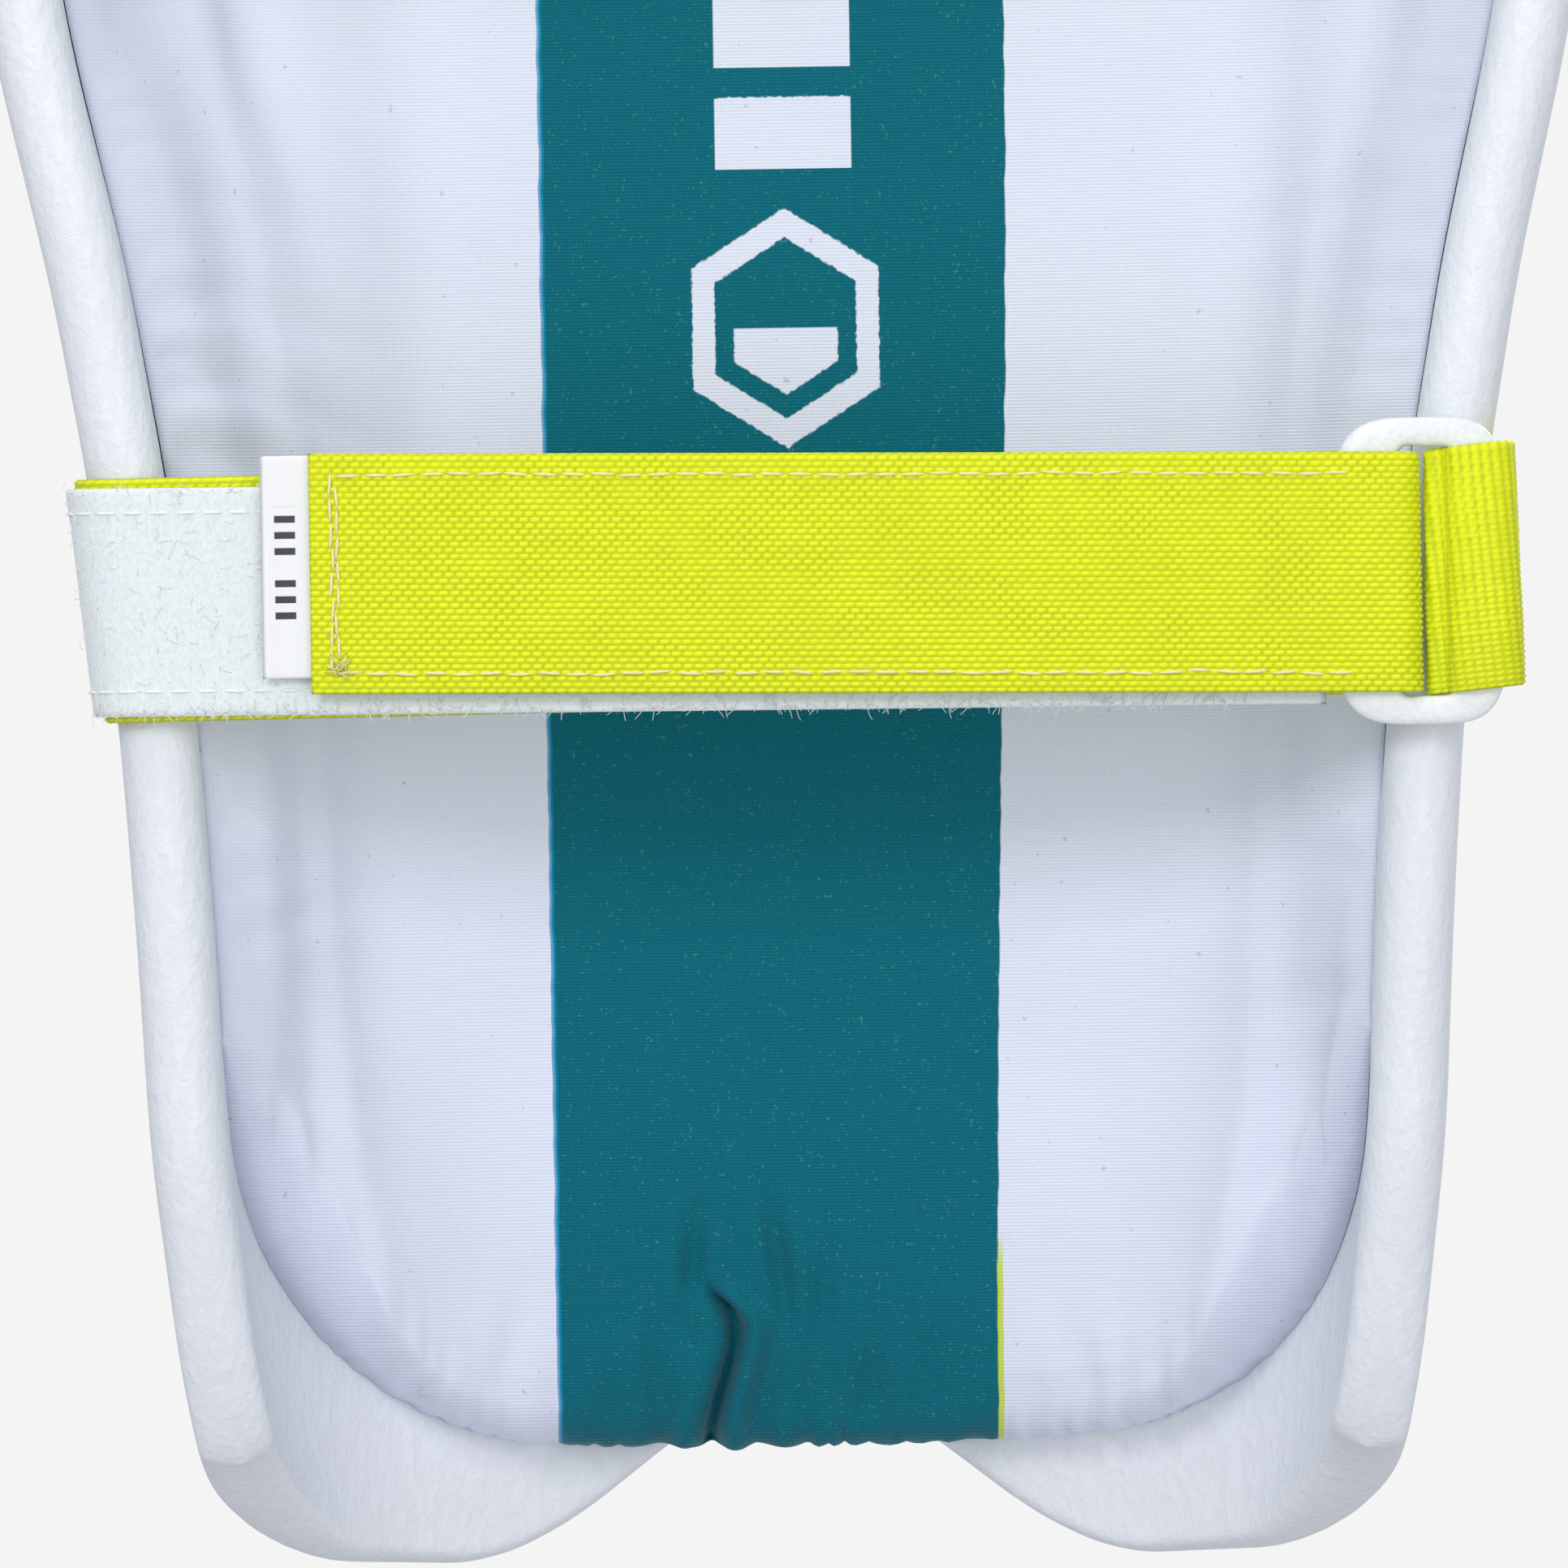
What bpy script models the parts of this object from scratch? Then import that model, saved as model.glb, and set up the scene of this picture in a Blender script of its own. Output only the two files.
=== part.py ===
"""Junior cricket leg pad: a moulded foam shell, three sewn-in cushions and three webbing straps.

+Z runs up the leg and -Y points to the leg side, where the straps close. The Z axis is the leg's axis
and z = 0 is the lowest edge of the shell. All sizes below are in millimetres.
"""

import math

import bmesh
import bpy
import numpy as np
from mathutils import Matrix, Vector

MM = 0.001
COLLECTION = "cricket_leg_pad"

# The shell's plain outer face, as (height, value) stations: half width, front's y, wing's reach to -Y.
HEIGHT = 600.0
HALF_WIDTH = (
    (0, 81), (12, 91), (28, 96), (65, 101), (100, 102.7), (130, 104.7), (167, 108.6), (200, 114.3),
    (236, 122.5), (285, 130.5), (315, 133), (345, 133), (400, 129.5), (470, 123), (540, 118), (575, 111), (600, 96),
)
FRONT = ((0, 68), (25, 59), (60, 51), (120, 48), (200, 50), (310, 57), (420, 66), (470, 62), (540, 50), (600, 42))
WING = ((0, -18), (12, 2), (30, 14), (60, 24), (110, 29), (180, 31), (450, 33), (520, 22), (570, 4), (600, -12))
ROUNDNESS = 2.5
WALL = 12.0
RIM_BEVEL = 4.0
SHELL_COLUMNS = 32
SHELL_ROWS = 40
NOTCH_HEIGHT = 28.0
NOTCH_HALF_WIDTH = 60.0
TOP_CORNER = 48.0
FLUTES = 4
FLUTE_HEIGHT = 3.5
FLUTE_SPAN = (70.0, 350.0)
KNEE_ROLLS = 3
KNEE_ROLL_HEIGHT = 6.0
KNEE_ROLL_SPAN = (372.0, 474.0)

# The cushions: name, bottom, top, foam thickness, reach round the section (1 is the wing's rim), grid.
CUSHIONS = (
    ("shin_liner", 18.5, 358.0, 9.0, 0.90, 22, 22),
    ("knee_bolster", 368.0, 468.0, 14.0, 0.84, 16, 9),
    ("top_liner", 478.0, 582.0, 8.0, 0.84, 16, 9),
)
SEAT_GAP = 0.9
COVER_CLOTH = 0.8
COVER_GAP = 1.6
COVER_EDGE = 3.0
COVER_SHOULDER = 8.0
FOAM_INSET = 11.0
HEM_RISE = 60.0

# The straps: name, height of the middle, length of the folded-back tail.
STRAPS = (("ankle", 153.0, 166.1), ("calf", 300.0, 205.0), ("knee", 432.0, 200.0))
WEBBING_WIDTH = 38.0
WEBBING = 1.6
TAPE_WIDTH = 35.0
TAPE = 1.6
RUN_STANDOFF = 0.6
LOOP_TAPE_STANDOFF = 2.5
HOOK_TAPE_STANDOFF = 4.5
TAIL_STANDOFF = 6.4
SEWN_LENGTH = 30.0
RIM_ROUND = 5.0
TURN_RADIUS = 2.9
TURN_GAP = 0.3
TAIL_START = 3.2
LABEL_WIDTH = 10.2
LABEL_TUCK = 2.6
LABEL_THICKNESS = 0.6

# The rings: outer size, and the opening between the bar for the strap and the bar for the anchor.
RING_WIDTH = 28.0
RING_HEIGHT = 47.8
RING_THICKNESS = 3.0
RING_OVERHANG = 4.8
RING_OPENING = (9.4, 41.4)
STRAP_BAR = 10.4
ANCHOR_CORNER = 2.0
ANCHOR_SHOULDER = 4.0
ANCHOR_PATCH = 26.0
ANCHOR_BEND = 4.0


def between(stations, z):
    """The stations' value at a height, eased over 16 mm."""
    heights = [height for height, value in stations]
    values = [value for height, value in stations]
    return float(np.mean(np.interp(z + np.linspace(-8, 8, 5), heights, values)))


def smooth_step(t):
    """0 to 1 with level ends."""
    t = min(max(t, 0.0), 1.0)
    return t * t * (3 - 2 * t)


def section(z):
    """Half of the outer face at a height, from the front's middle to the wing's rim: x, y, length along."""
    half_width = between(HALF_WIDTH, z)
    front = between(FRONT, z)
    rim = -between(WING, z)
    angle = np.linspace(0, math.pi / 2, 120)
    x = half_width * np.sin(angle) ** (2 / ROUNDNESS)
    y = front * np.cos(angle) ** (2 / ROUNDNESS)
    if rim < 0:
        x = np.append(x, half_width)
        y = np.append(y, rim)
    else:
        kept = y > rim
        x, y = x[kept], y[kept]
    length = np.concatenate([[0], np.cumsum(np.hypot(np.diff(x), np.diff(y)))])
    return x, y, length


def outer(u, z):
    """A point of the outer face; u runs from the left rim, -1, round the front to the right rim, 1."""
    x, y, length = section(z)
    along = abs(u) * length[-1]
    side = float(np.interp(along, length, x))
    return Vector((math.copysign(side, u), float(np.interp(along, length, y)), z))


def inside(u, z, depth):
    """A point this far below the outer face, towards the leg."""
    across = outer(min(u + 0.02, 1), z) - outer(max(u - 0.02, -1), z)
    up = outer(u, z + 3) - outer(u, z - 3)
    return outer(u, z) + across.cross(up).normalized() * depth


def shell_low(u):
    """Height of the shell's bottom edge: a notch over the instep in a level hem."""
    low = NOTCH_HALF_WIDTH / 4
    for settle in range(4):
        x = abs(outer(u, low).x)
        low = NOTCH_HEIGHT * 0.5 * (1 + math.cos(math.pi * min(x / NOTCH_HALF_WIDTH, 1)))
    return low


def shell_high(u):
    """Height of the shell's top edge, with round corners."""
    return HEIGHT - TOP_CORNER * max(0.0, (abs(u) - 0.35) / 0.65) ** 2


def relief(u, z):
    """Height of the moulded upright flutes and level knee rolls over the plain outer face."""
    side = smooth_step((0.8 - abs(u)) / 0.15)
    low, high = FLUTE_SPAN
    flutes = smooth_step((z - low) / 40) * smooth_step((high - z) / 30)
    flute = 0.5 + 0.5 * math.cos(2 * math.pi * FLUTES * u)
    low, high = KNEE_ROLL_SPAN
    rolls = smooth_step((z - low + 12) / 24) * smooth_step((high + 12 - z) / 24)
    roll = 0.5 - 0.5 * math.cos(2 * math.pi * KNEE_ROLLS * (z - low) / (high - low))
    return side * (FLUTE_HEIGHT * flute * flutes + KNEE_ROLL_HEIGHT * roll * rolls)


def finish(name, colour, roughness, metallic=0.0):
    """A plain Principled material."""
    material = bpy.data.materials.new(name)
    material.use_nodes = True
    shader = material.node_tree.nodes["Principled BSDF"]
    shader.inputs["Base Color"].default_value = (*colour, 1)
    shader.inputs["Roughness"].default_value = roughness
    shader.inputs["Metallic"].default_value = metallic
    return material


def sheet(name, columns, rows, place):
    """A grid mesh whose vertex at (s, t), each 0 to 1, lies where place(s, t) says, in millimetres."""
    shape = bmesh.new()
    bmesh.ops.create_grid(shape, x_segments=columns, y_segments=rows, size=0.5)
    for vertex in shape.verts:
        vertex.co = Vector(place(vertex.co.x + 0.5, vertex.co.y + 0.5)) * MM
    mesh = bpy.data.meshes.new(name)
    shape.to_mesh(mesh)
    shape.free()
    return mesh


def add_piece(mesh, material, axis=None):
    """Put a mesh made in world coordinates in the pad's collection, hung on its joint's empty if it moves."""
    piece = bpy.data.objects.new(mesh.name, mesh)
    bpy.data.collections[COLLECTION].objects.link(piece)
    mesh.materials.append(material)
    mesh.shade_smooth()
    mesh.set_sharp_from_angle(angle=math.radians(40))
    if axis:
        mesh.transform(Matrix.Translation(-axis["place"]))
        piece.parent = axis["empty"]
    return piece


def thicken(piece, thickness, offset=1.0):
    """Give an open sheet its thickness: offset 1 grows along its normals, 0 grows both ways."""
    wall = piece.modifiers.new("wall", "SOLIDIFY")
    wall.thickness = thickness * MM
    wall.offset = offset
    return piece


def add_axis(name, x, y, z, parent=None):
    """An empty on a joint's axis."""
    empty = bpy.data.objects.new(name, None)
    bpy.data.collections[COLLECTION].objects.link(empty)
    place = Vector((x, y, z)) * MM
    empty.location = place - parent["place"] if parent else place
    if parent:
        empty.parent = parent["empty"]
    return {"empty": empty, "place": place}


def make_shell(material):
    """The moulded shell: one open sheet over the front and both wings, grown 12 mm towards the leg."""

    def place(s, t):
        u = 2 * s - 1
        low = shell_low(u)
        z = low + t * (shell_high(u) - low)
        return inside(u, z, -relief(u, z))

    shell = thicken(add_piece(sheet("moulded_shell", SHELL_COLUMNS, SHELL_ROWS, place), material), WALL)
    rim = shell.modifiers.new("rim", "BEVEL")
    rim.width = RIM_BEVEL * MM
    rim.segments = 2
    rim.limit_method = "ANGLE"
    rim.angle_limit = math.radians(55)


def cushion_low(name, bottom, u):
    """Height of a cushion's bottom edge; the shin liner's hem is a round-cornered U."""
    rise = HEM_RISE if name == "shin_liner" else 6.0
    return bottom + rise * max(0.0, (abs(u) - 0.3) / 0.6) ** 2.2


def cushion_high(name, top, u):
    """Height of a cushion's top edge; the top liner follows the shell's round corners."""
    if name == "top_liner":
        return top - HEIGHT + shell_high(u)
    return top - 6.0 * smooth_step((abs(u) - 0.4) / 0.5)


def crowded(t, cells, length):
    """Move the two outermost grid lines on each side to a cushion's edge and shoulder."""
    edge = COVER_EDGE / length
    shoulder = COVER_SHOULDER / length
    at = [0, 1, 2, cells - 2, cells - 1, cells]
    return float(np.interp(t * cells, at, [0, edge, shoulder, 1 - shoulder, 1 - edge, 1]))


def trimmed(t, cells, length):
    """The cover's inner grid lines, with the outermost on each side moved in to the foam's edge."""
    inset = FOAM_INSET / length
    shoulder = COVER_SHOULDER / length
    cell = (1 - 2 * shoulder) / cells
    at = [0, 1, cells - 1, cells]
    return float(np.interp(t * cells, at, [inset, shoulder + cell, 1 - shoulder - cell, 1 - inset]))


def make_cushion(cushion, cloth, foam):
    """A foam slab on the shell's inner face, and the open-backed cloth cover sewn over it."""
    name, bottom, top, thickness, reach, columns, rows = cushion
    height = top - bottom
    width = 2 * reach * section((bottom + top) / 2)[2][-1]
    crown = thickness + COVER_GAP

    def place(s, t, depth):
        u = reach * (2 * s - 1)
        low = cushion_low(name, bottom, u)
        z = low + t * (cushion_high(name, top, u) - low)
        return inside(u, z, WALL + SEAT_GAP + depth)

    def cover_place(s, t):
        s, t = crowded(s, columns, width), crowded(t, rows, height)
        edge = min(min(s, 1 - s) * width, min(t, 1 - t) * height)
        return place(s, t, crown * float(np.interp(edge, [0, COVER_EDGE, COVER_SHOULDER], [0, 0.75, 1])))

    def foam_place(s, t):
        return place(trimmed(s, columns - 4, width), trimmed(t, rows - 4, height), 0)

    thicken(add_piece(sheet(name + "_cover", columns, rows, cover_place), cloth), COVER_CLOTH)
    thicken(add_piece(sheet(name + "_foam", columns - 4, rows - 4, foam_place), foam), thickness)


def arc(centre, radius, start, end, count):
    """Points of a plan arc, angles in degrees from +X."""
    angles = np.radians(np.linspace(start, end, count))
    return [(centre[0] + radius * math.cos(a), centre[1] + radius * math.sin(a)) for a in angles]


def band(name, path_at, middle, width, columns, rows, material, thickness, offset, axis=None):
    """An upright band of webbing: path_at gives its plan points at a height, shared out by index."""

    def place(s, t):
        z = middle + (t - 0.5) * width
        points = np.array(path_at(z))
        index = s * (len(points) - 1)
        x = np.interp(index, np.arange(len(points)), points[:, 0])
        y = np.interp(index, np.arange(len(points)), points[:, 1])
        return x, y, z

    return thicken(add_piece(sheet(name, columns, rows, place), material, axis), thickness, offset)


def make_ring(name, centre_x, opening_x, y, z, material, axis):
    """A flat plastic loop: a torus drawn out to an oblong with an off-centre oblong opening."""
    bpy.ops.mesh.primitive_torus_add(major_segments=56, minor_segments=10, major_radius=1, minor_radius=0.25)
    torus = bpy.context.object
    mesh = torus.data
    mesh.name = name
    bpy.data.objects.remove(torus)
    reach = {1: centre_x + RING_WIDTH / 2 - opening_x, -1: opening_x - centre_x + RING_WIDTH / 2}
    for vertex in mesh.vertices:
        across, up, rise = vertex.co
        turn = math.atan2(2 * up, across)
        ratio = (math.hypot(across, up) - 0.75) / 0.5
        side = 1 if across >= 0 else -1
        c, s = abs(math.cos(turn)), abs(math.sin(turn))
        outer_r = ((c / reach[side]) ** 4 + (s / (RING_HEIGHT / 2)) ** 4) ** -0.25
        inner_r = ((c / (RING_OPENING[0] / 2)) ** 8 + (s / (RING_OPENING[1] / 2)) ** 8) ** -0.125
        radius = inner_r + (outer_r - inner_r) * ratio
        height = math.copysign(abs(rise / 0.25) ** 0.6, rise) * RING_THICKNESS / 2
        vertex.co = Vector((opening_x + radius * math.cos(turn), y + height, z + radius * math.sin(turn))) * MM
    mesh.update()
    shape = bmesh.new()
    shape.from_mesh(mesh)
    bmesh.ops.recalc_face_normals(shape, faces=shape.faces)
    shape.to_mesh(mesh)
    shape.free()
    add_piece(mesh, material, axis)


def make_strap(strap, webbing, pile, hooks, plastic):
    """One strap: run and pile tape on the shell, ring with its anchor, tail with its hook tape."""
    name, middle, tail_length = strap
    wall = between(HALF_WIDTH, middle)
    rim_y = -max(between(WING, middle + step) for step in (-19, 0, 19))
    bar_y = rim_y - (RUN_STANDOFF + WEBBING + TAIL_STANDOFF) / 2
    ring_right = wall + RING_OVERHANG
    ring_left = ring_right - RING_WIDTH
    strap_bar_right = ring_left + STRAP_BAR
    anchor_bar_left = strap_bar_right + RING_OPENING[0]
    turn_x = strap_bar_right + 0.4
    swivel = add_axis(name + "_ring_axis", wall + 2.4, rim_y + ANCHOR_BEND, middle)
    peel = add_axis(name + "_tail_axis", turn_x, bar_y, middle, swivel)

    def run_path(standoff, sewn, end_x):
        def path_at(z):
            side = -between(HALF_WIDTH, z) - standoff
            corner = (side + RIM_ROUND + standoff, rim_y + RIM_ROUND)
            points = [(side, rim_y + RIM_ROUND + sewn)] if sewn else []
            points += arc(corner, RIM_ROUND + standoff, 180, 270, 6)
            return points + [(end_x, rim_y - standoff)]

        return path_at

    def anchor_path(z):
        side = between(HALF_WIDTH, z)
        inner = side + RUN_STANDOFF + WEBBING / 2
        low_y = rim_y - RUN_STANDOFF - WEBBING / 2
        shoulder = (ring_right + 1.2 - ANCHOR_SHOULDER, bar_y - TURN_RADIUS + ANCHOR_SHOULDER)
        foot = rim_y + ANCHOR_BEND - 1
        points = [(inner, foot)]
        points += arc((inner - ANCHOR_CORNER, low_y + ANCHOR_CORNER), ANCHOR_CORNER, 0, -90, 4)
        points += arc((anchor_bar_left + 1.5, bar_y), TURN_RADIUS, 90, 270, 9)
        points += arc(shoulder, ANCHOR_SHOULDER, -90, 0, 5)
        return points + [(inner + WEBBING + 0.3, foot)]

    def patch_path(z):
        x = between(HALF_WIDTH, z) + RUN_STANDOFF
        start = rim_y + ANCHOR_BEND + 2.5
        return [(x, start), (x, start + ANCHOR_PATCH)]

    def level_path(start_x, end_x, standoff):
        return lambda z: [(start_x, rim_y - standoff), (end_x, rim_y - standoff)]

    width = WEBBING_WIDTH
    tail_start = turn_x - TAIL_START
    tail_end = tail_start - tail_length
    run = run_path(RUN_STANDOFF, SEWN_LENGTH, turn_x - TURN_GAP)
    band(name + "_strap_run", run, middle, width, 14, 4, webbing, WEBBING, 1)
    tape = run_path(LOOP_TAPE_STANDOFF, 0, ring_left - 0.8)
    band(name + "_loop_tape", tape, middle, TAPE_WIDTH, 12, 3, pile, TAPE, 1)
    band(name + "_anchor_patch", patch_path, middle, width, 1, 3, webbing, 2 * WEBBING + 0.3, 1)
    band(name + "_anchor_loop", anchor_path, middle, width, 38, 3, webbing, WEBBING, 0, swivel)
    make_ring(name + "_ring", ring_right - RING_WIDTH / 2, strap_bar_right + RING_OPENING[0] / 2,
              bar_y, middle, plastic, swivel)
    turn = lambda z: arc((turn_x, bar_y), TURN_RADIUS, 90, -90, 11)
    band(name + "_strap_turn", turn, middle, width, 10, 1, webbing, WEBBING, 0, swivel)
    tail = level_path(tail_end, tail_start, TAIL_STANDOFF)
    band(name + "_strap_tail", tail, middle, width, 3, 1, webbing, WEBBING, 1, peel)
    hook = level_path(tail_end + 3.7, ring_left - 0.8, HOOK_TAPE_STANDOFF)
    band(name + "_hook_tape", hook, middle, TAPE_WIDTH, 3, 1, hooks, TAPE, 1, peel)
    if name == "ankle":
        label_end = tail_end + LABEL_TUCK
        label = level_path(label_end - LABEL_WIDTH, label_end, HOOK_TAPE_STANDOFF)
        band("ankle_label", label, middle, TAPE_WIDTH, 1, 1, pile, LABEL_THICKNESS, 1, peel)


def main():
    """Empty the scene and build the pad."""
    for item in list(bpy.data.objects):
        bpy.data.objects.remove(item)
    collection = bpy.data.collections.new(COLLECTION)
    bpy.context.scene.collection.children.link(collection)
    foam_skin = finish("white_foam_skin", (0.78, 0.82, 0.84), 0.55)
    cloth = finish("white_lining_cloth", (0.76, 0.77, 0.85), 0.85)
    foam = finish("cushion_foam", (0.75, 0.72, 0.62), 0.95)
    webbing = finish("yellow_webbing", (0.76, 0.83, 0.01), 0.8)
    pile = finish("white_pile", (0.85, 0.87, 0.85), 0.9)
    hooks = finish("white_hooks", (0.8, 0.8, 0.78), 0.6)
    plastic = finish("white_plastic", (0.85, 0.87, 0.88), 0.35)
    make_shell(foam_skin)
    for cushion in CUSHIONS:
        make_cushion(cushion, cloth, foam)
    for strap in STRAPS:
        make_strap(strap, webbing, pile, hooks, plastic)


main()
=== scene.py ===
"""Looks of a junior cricket leg pad: foam shell, sewn-in cushions, webbing straps and plastic rings.

Lengths are in millimetres until a mesh is made. +Z runs up the leg and -Y points to the leg side.
"""
import logging
import math
from dataclasses import dataclass, field, replace
from enum import Enum
from typing import Callable, Optional, Sequence

import bmesh
import bpy
import numpy as np
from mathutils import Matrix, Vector


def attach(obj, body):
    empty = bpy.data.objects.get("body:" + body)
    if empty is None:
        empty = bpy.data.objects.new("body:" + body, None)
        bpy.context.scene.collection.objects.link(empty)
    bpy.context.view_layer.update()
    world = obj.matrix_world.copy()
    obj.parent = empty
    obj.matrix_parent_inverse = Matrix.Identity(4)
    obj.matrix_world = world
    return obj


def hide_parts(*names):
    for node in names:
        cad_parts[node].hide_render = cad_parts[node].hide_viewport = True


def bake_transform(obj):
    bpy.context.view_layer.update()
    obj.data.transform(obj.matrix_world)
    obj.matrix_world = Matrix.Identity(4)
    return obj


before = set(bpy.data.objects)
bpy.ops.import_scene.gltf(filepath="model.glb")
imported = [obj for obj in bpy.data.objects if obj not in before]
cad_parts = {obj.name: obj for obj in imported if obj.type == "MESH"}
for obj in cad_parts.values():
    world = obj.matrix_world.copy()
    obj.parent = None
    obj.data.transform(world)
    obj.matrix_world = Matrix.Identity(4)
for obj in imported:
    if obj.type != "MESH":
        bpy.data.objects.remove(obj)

MM = 0.001
LOG = logging.getLogger("cricket_leg_pad")
Stations = Sequence[tuple[float, float]]


class Side(Enum):
    """Which way a sheet's thickness grows from its plan path."""

    OUTWARD = 1.0
    CENTRED = 0.0


class Weave(Enum):
    """How finely a webbing band's yarns are meshed: samples per warp float and per row."""

    FINE = (4.0, 3.0)
    PLAIN = (3.0, 2.0)


# ---------------------------------------------------------------------------------------------- shapes


def smooth_step(t: np.ndarray) -> np.ndarray:
    """0 to 1 with level ends: three t squared minus two t cubed."""
    t = np.clip(t, 0.0, 1.0)
    return t * t * (3 - 2 * t)


def bell(t: np.ndarray) -> np.ndarray:
    """A Gaussian hump of height 1 and unit width."""
    return np.exp(-np.square(t))


def between(stations: Stations, z: np.ndarray) -> np.ndarray:
    """The stations' value at each height, eased over 16 mm.

    Args:
        stations: (height, value) pairs.
        z: heights.

    Returns:
        The mean of five straight-line readings around each height.
    """
    heights, values = np.array(stations).T
    return sum(np.interp(z + step, heights, values) for step in np.linspace(-8, 8, 5)) / 5


def value_noise(points: np.ndarray, cell: float, seed: int) -> np.ndarray:
    """Smooth noise from -1 to 1: random values on a lattice, eased between its corners.

    Args:
        points: (..., 3) places.
        cell: lattice spacing.
        seed: picks the lattice's values.

    Returns:
        The noise at each place.
    """
    scaled = points / cell
    base = np.floor(scaled).astype(np.int64)
    part = smooth_step(scaled - base)
    total = np.zeros(points.shape[:-1])
    for corner in np.ndindex(2, 2, 2):
        place = base + np.array(corner)
        key = place[..., 0] * 73856093 ^ place[..., 1] * 19349663 ^ place[..., 2] * 83492791
        key = key ^ seed * 2654435761
        key = (key ^ (key >> 13)) * 1274126177 & 0x7FFFFFFF
        weight = np.prod(np.where(np.array(corner) == 1, part, 1 - part), axis=-1)
        total += weight * ((key % 20011) / 10005.5 - 1)
    return total


def crowded(cells: int, length: float, edge: float, edge_cells: int) -> np.ndarray:
    """Grid positions 0 to 1 that crowd at both ends, as the cosine of a quarter turn.

    Args:
        cells: number of cells.
        length: the grid's length.
        edge: length of each crowded end.
        edge_cells: cells in each crowded end.

    Returns:
        cells + 1 positions.
    """
    rise = edge * (1 - np.cos(np.linspace(0, math.pi / 2, edge_cells + 1))) / length
    middle = np.linspace(rise[-1], 1 - rise[-1], cells - 2 * edge_cells + 1)[1:-1]
    return np.concatenate([rise, middle, 1 - rise[::-1]])


def link_mesh(name: str, vertices: np.ndarray, faces: list) -> bpy.types.Object:
    """Make a smooth-shaded object from arrays.

    Args:
        name: the piece's name.
        vertices: (n, 3) places in millimetres.
        faces: lists of three or four vertex numbers, facing out.

    Returns:
        The new object, at the origin.
    """
    mesh = bpy.data.meshes.new(name)
    mesh.from_pydata((vertices * MM).tolist(), [], faces)
    mesh.validate()
    mesh.shade_smooth()
    piece = bpy.data.objects.new(name, mesh)
    bpy.context.scene.collection.objects.link(piece)
    return piece


def grid_faces(rows: int, columns: int, index: Optional[np.ndarray] = None) -> np.ndarray:
    """Quads of a rows x columns vertex grid, turning from the column direction to the row direction."""
    index = np.arange(rows * columns).reshape(rows, columns) if index is None else index
    return np.stack([index[:-1, :-1], index[:-1, 1:], index[1:, 1:], index[1:, :-1]], axis=-1).reshape(-1, 4)


def closed_slab(name: str, front: np.ndarray, back: np.ndarray) -> bpy.types.Object:
    """A closed piece from two grids that share their border.

    Args:
        name: the piece's name.
        front: (rows, columns, 3); its column direction crossed with its row direction faces out.
        back: the same grid on the other side, equal to front along the border.

    Returns:
        The piece.
    """
    rows, columns = front.shape[:2]
    index = np.arange(rows * columns).reshape(rows, columns)
    inner = np.arange((rows - 2) * (columns - 2)).reshape(rows - 2, columns - 2) + rows * columns
    back_index = index.copy()
    back_index[1:-1, 1:-1] = inner
    vertices = np.concatenate([front.reshape(-1, 3), back[1:-1, 1:-1].reshape(-1, 3)])
    faces = np.concatenate([grid_faces(rows, columns, index), grid_faces(rows, columns, back_index)[:, ::-1]])
    return link_mesh(name, vertices, faces.tolist())


def store(piece: bpy.types.Object, name: str, values: np.ndarray) -> None:
    """Keep a number per vertex on a piece, for its material to read."""
    layer = piece.data.attributes.new(name, "FLOAT", "POINT")
    layer.data.foreach_set("value", values.astype(np.float32))


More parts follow.
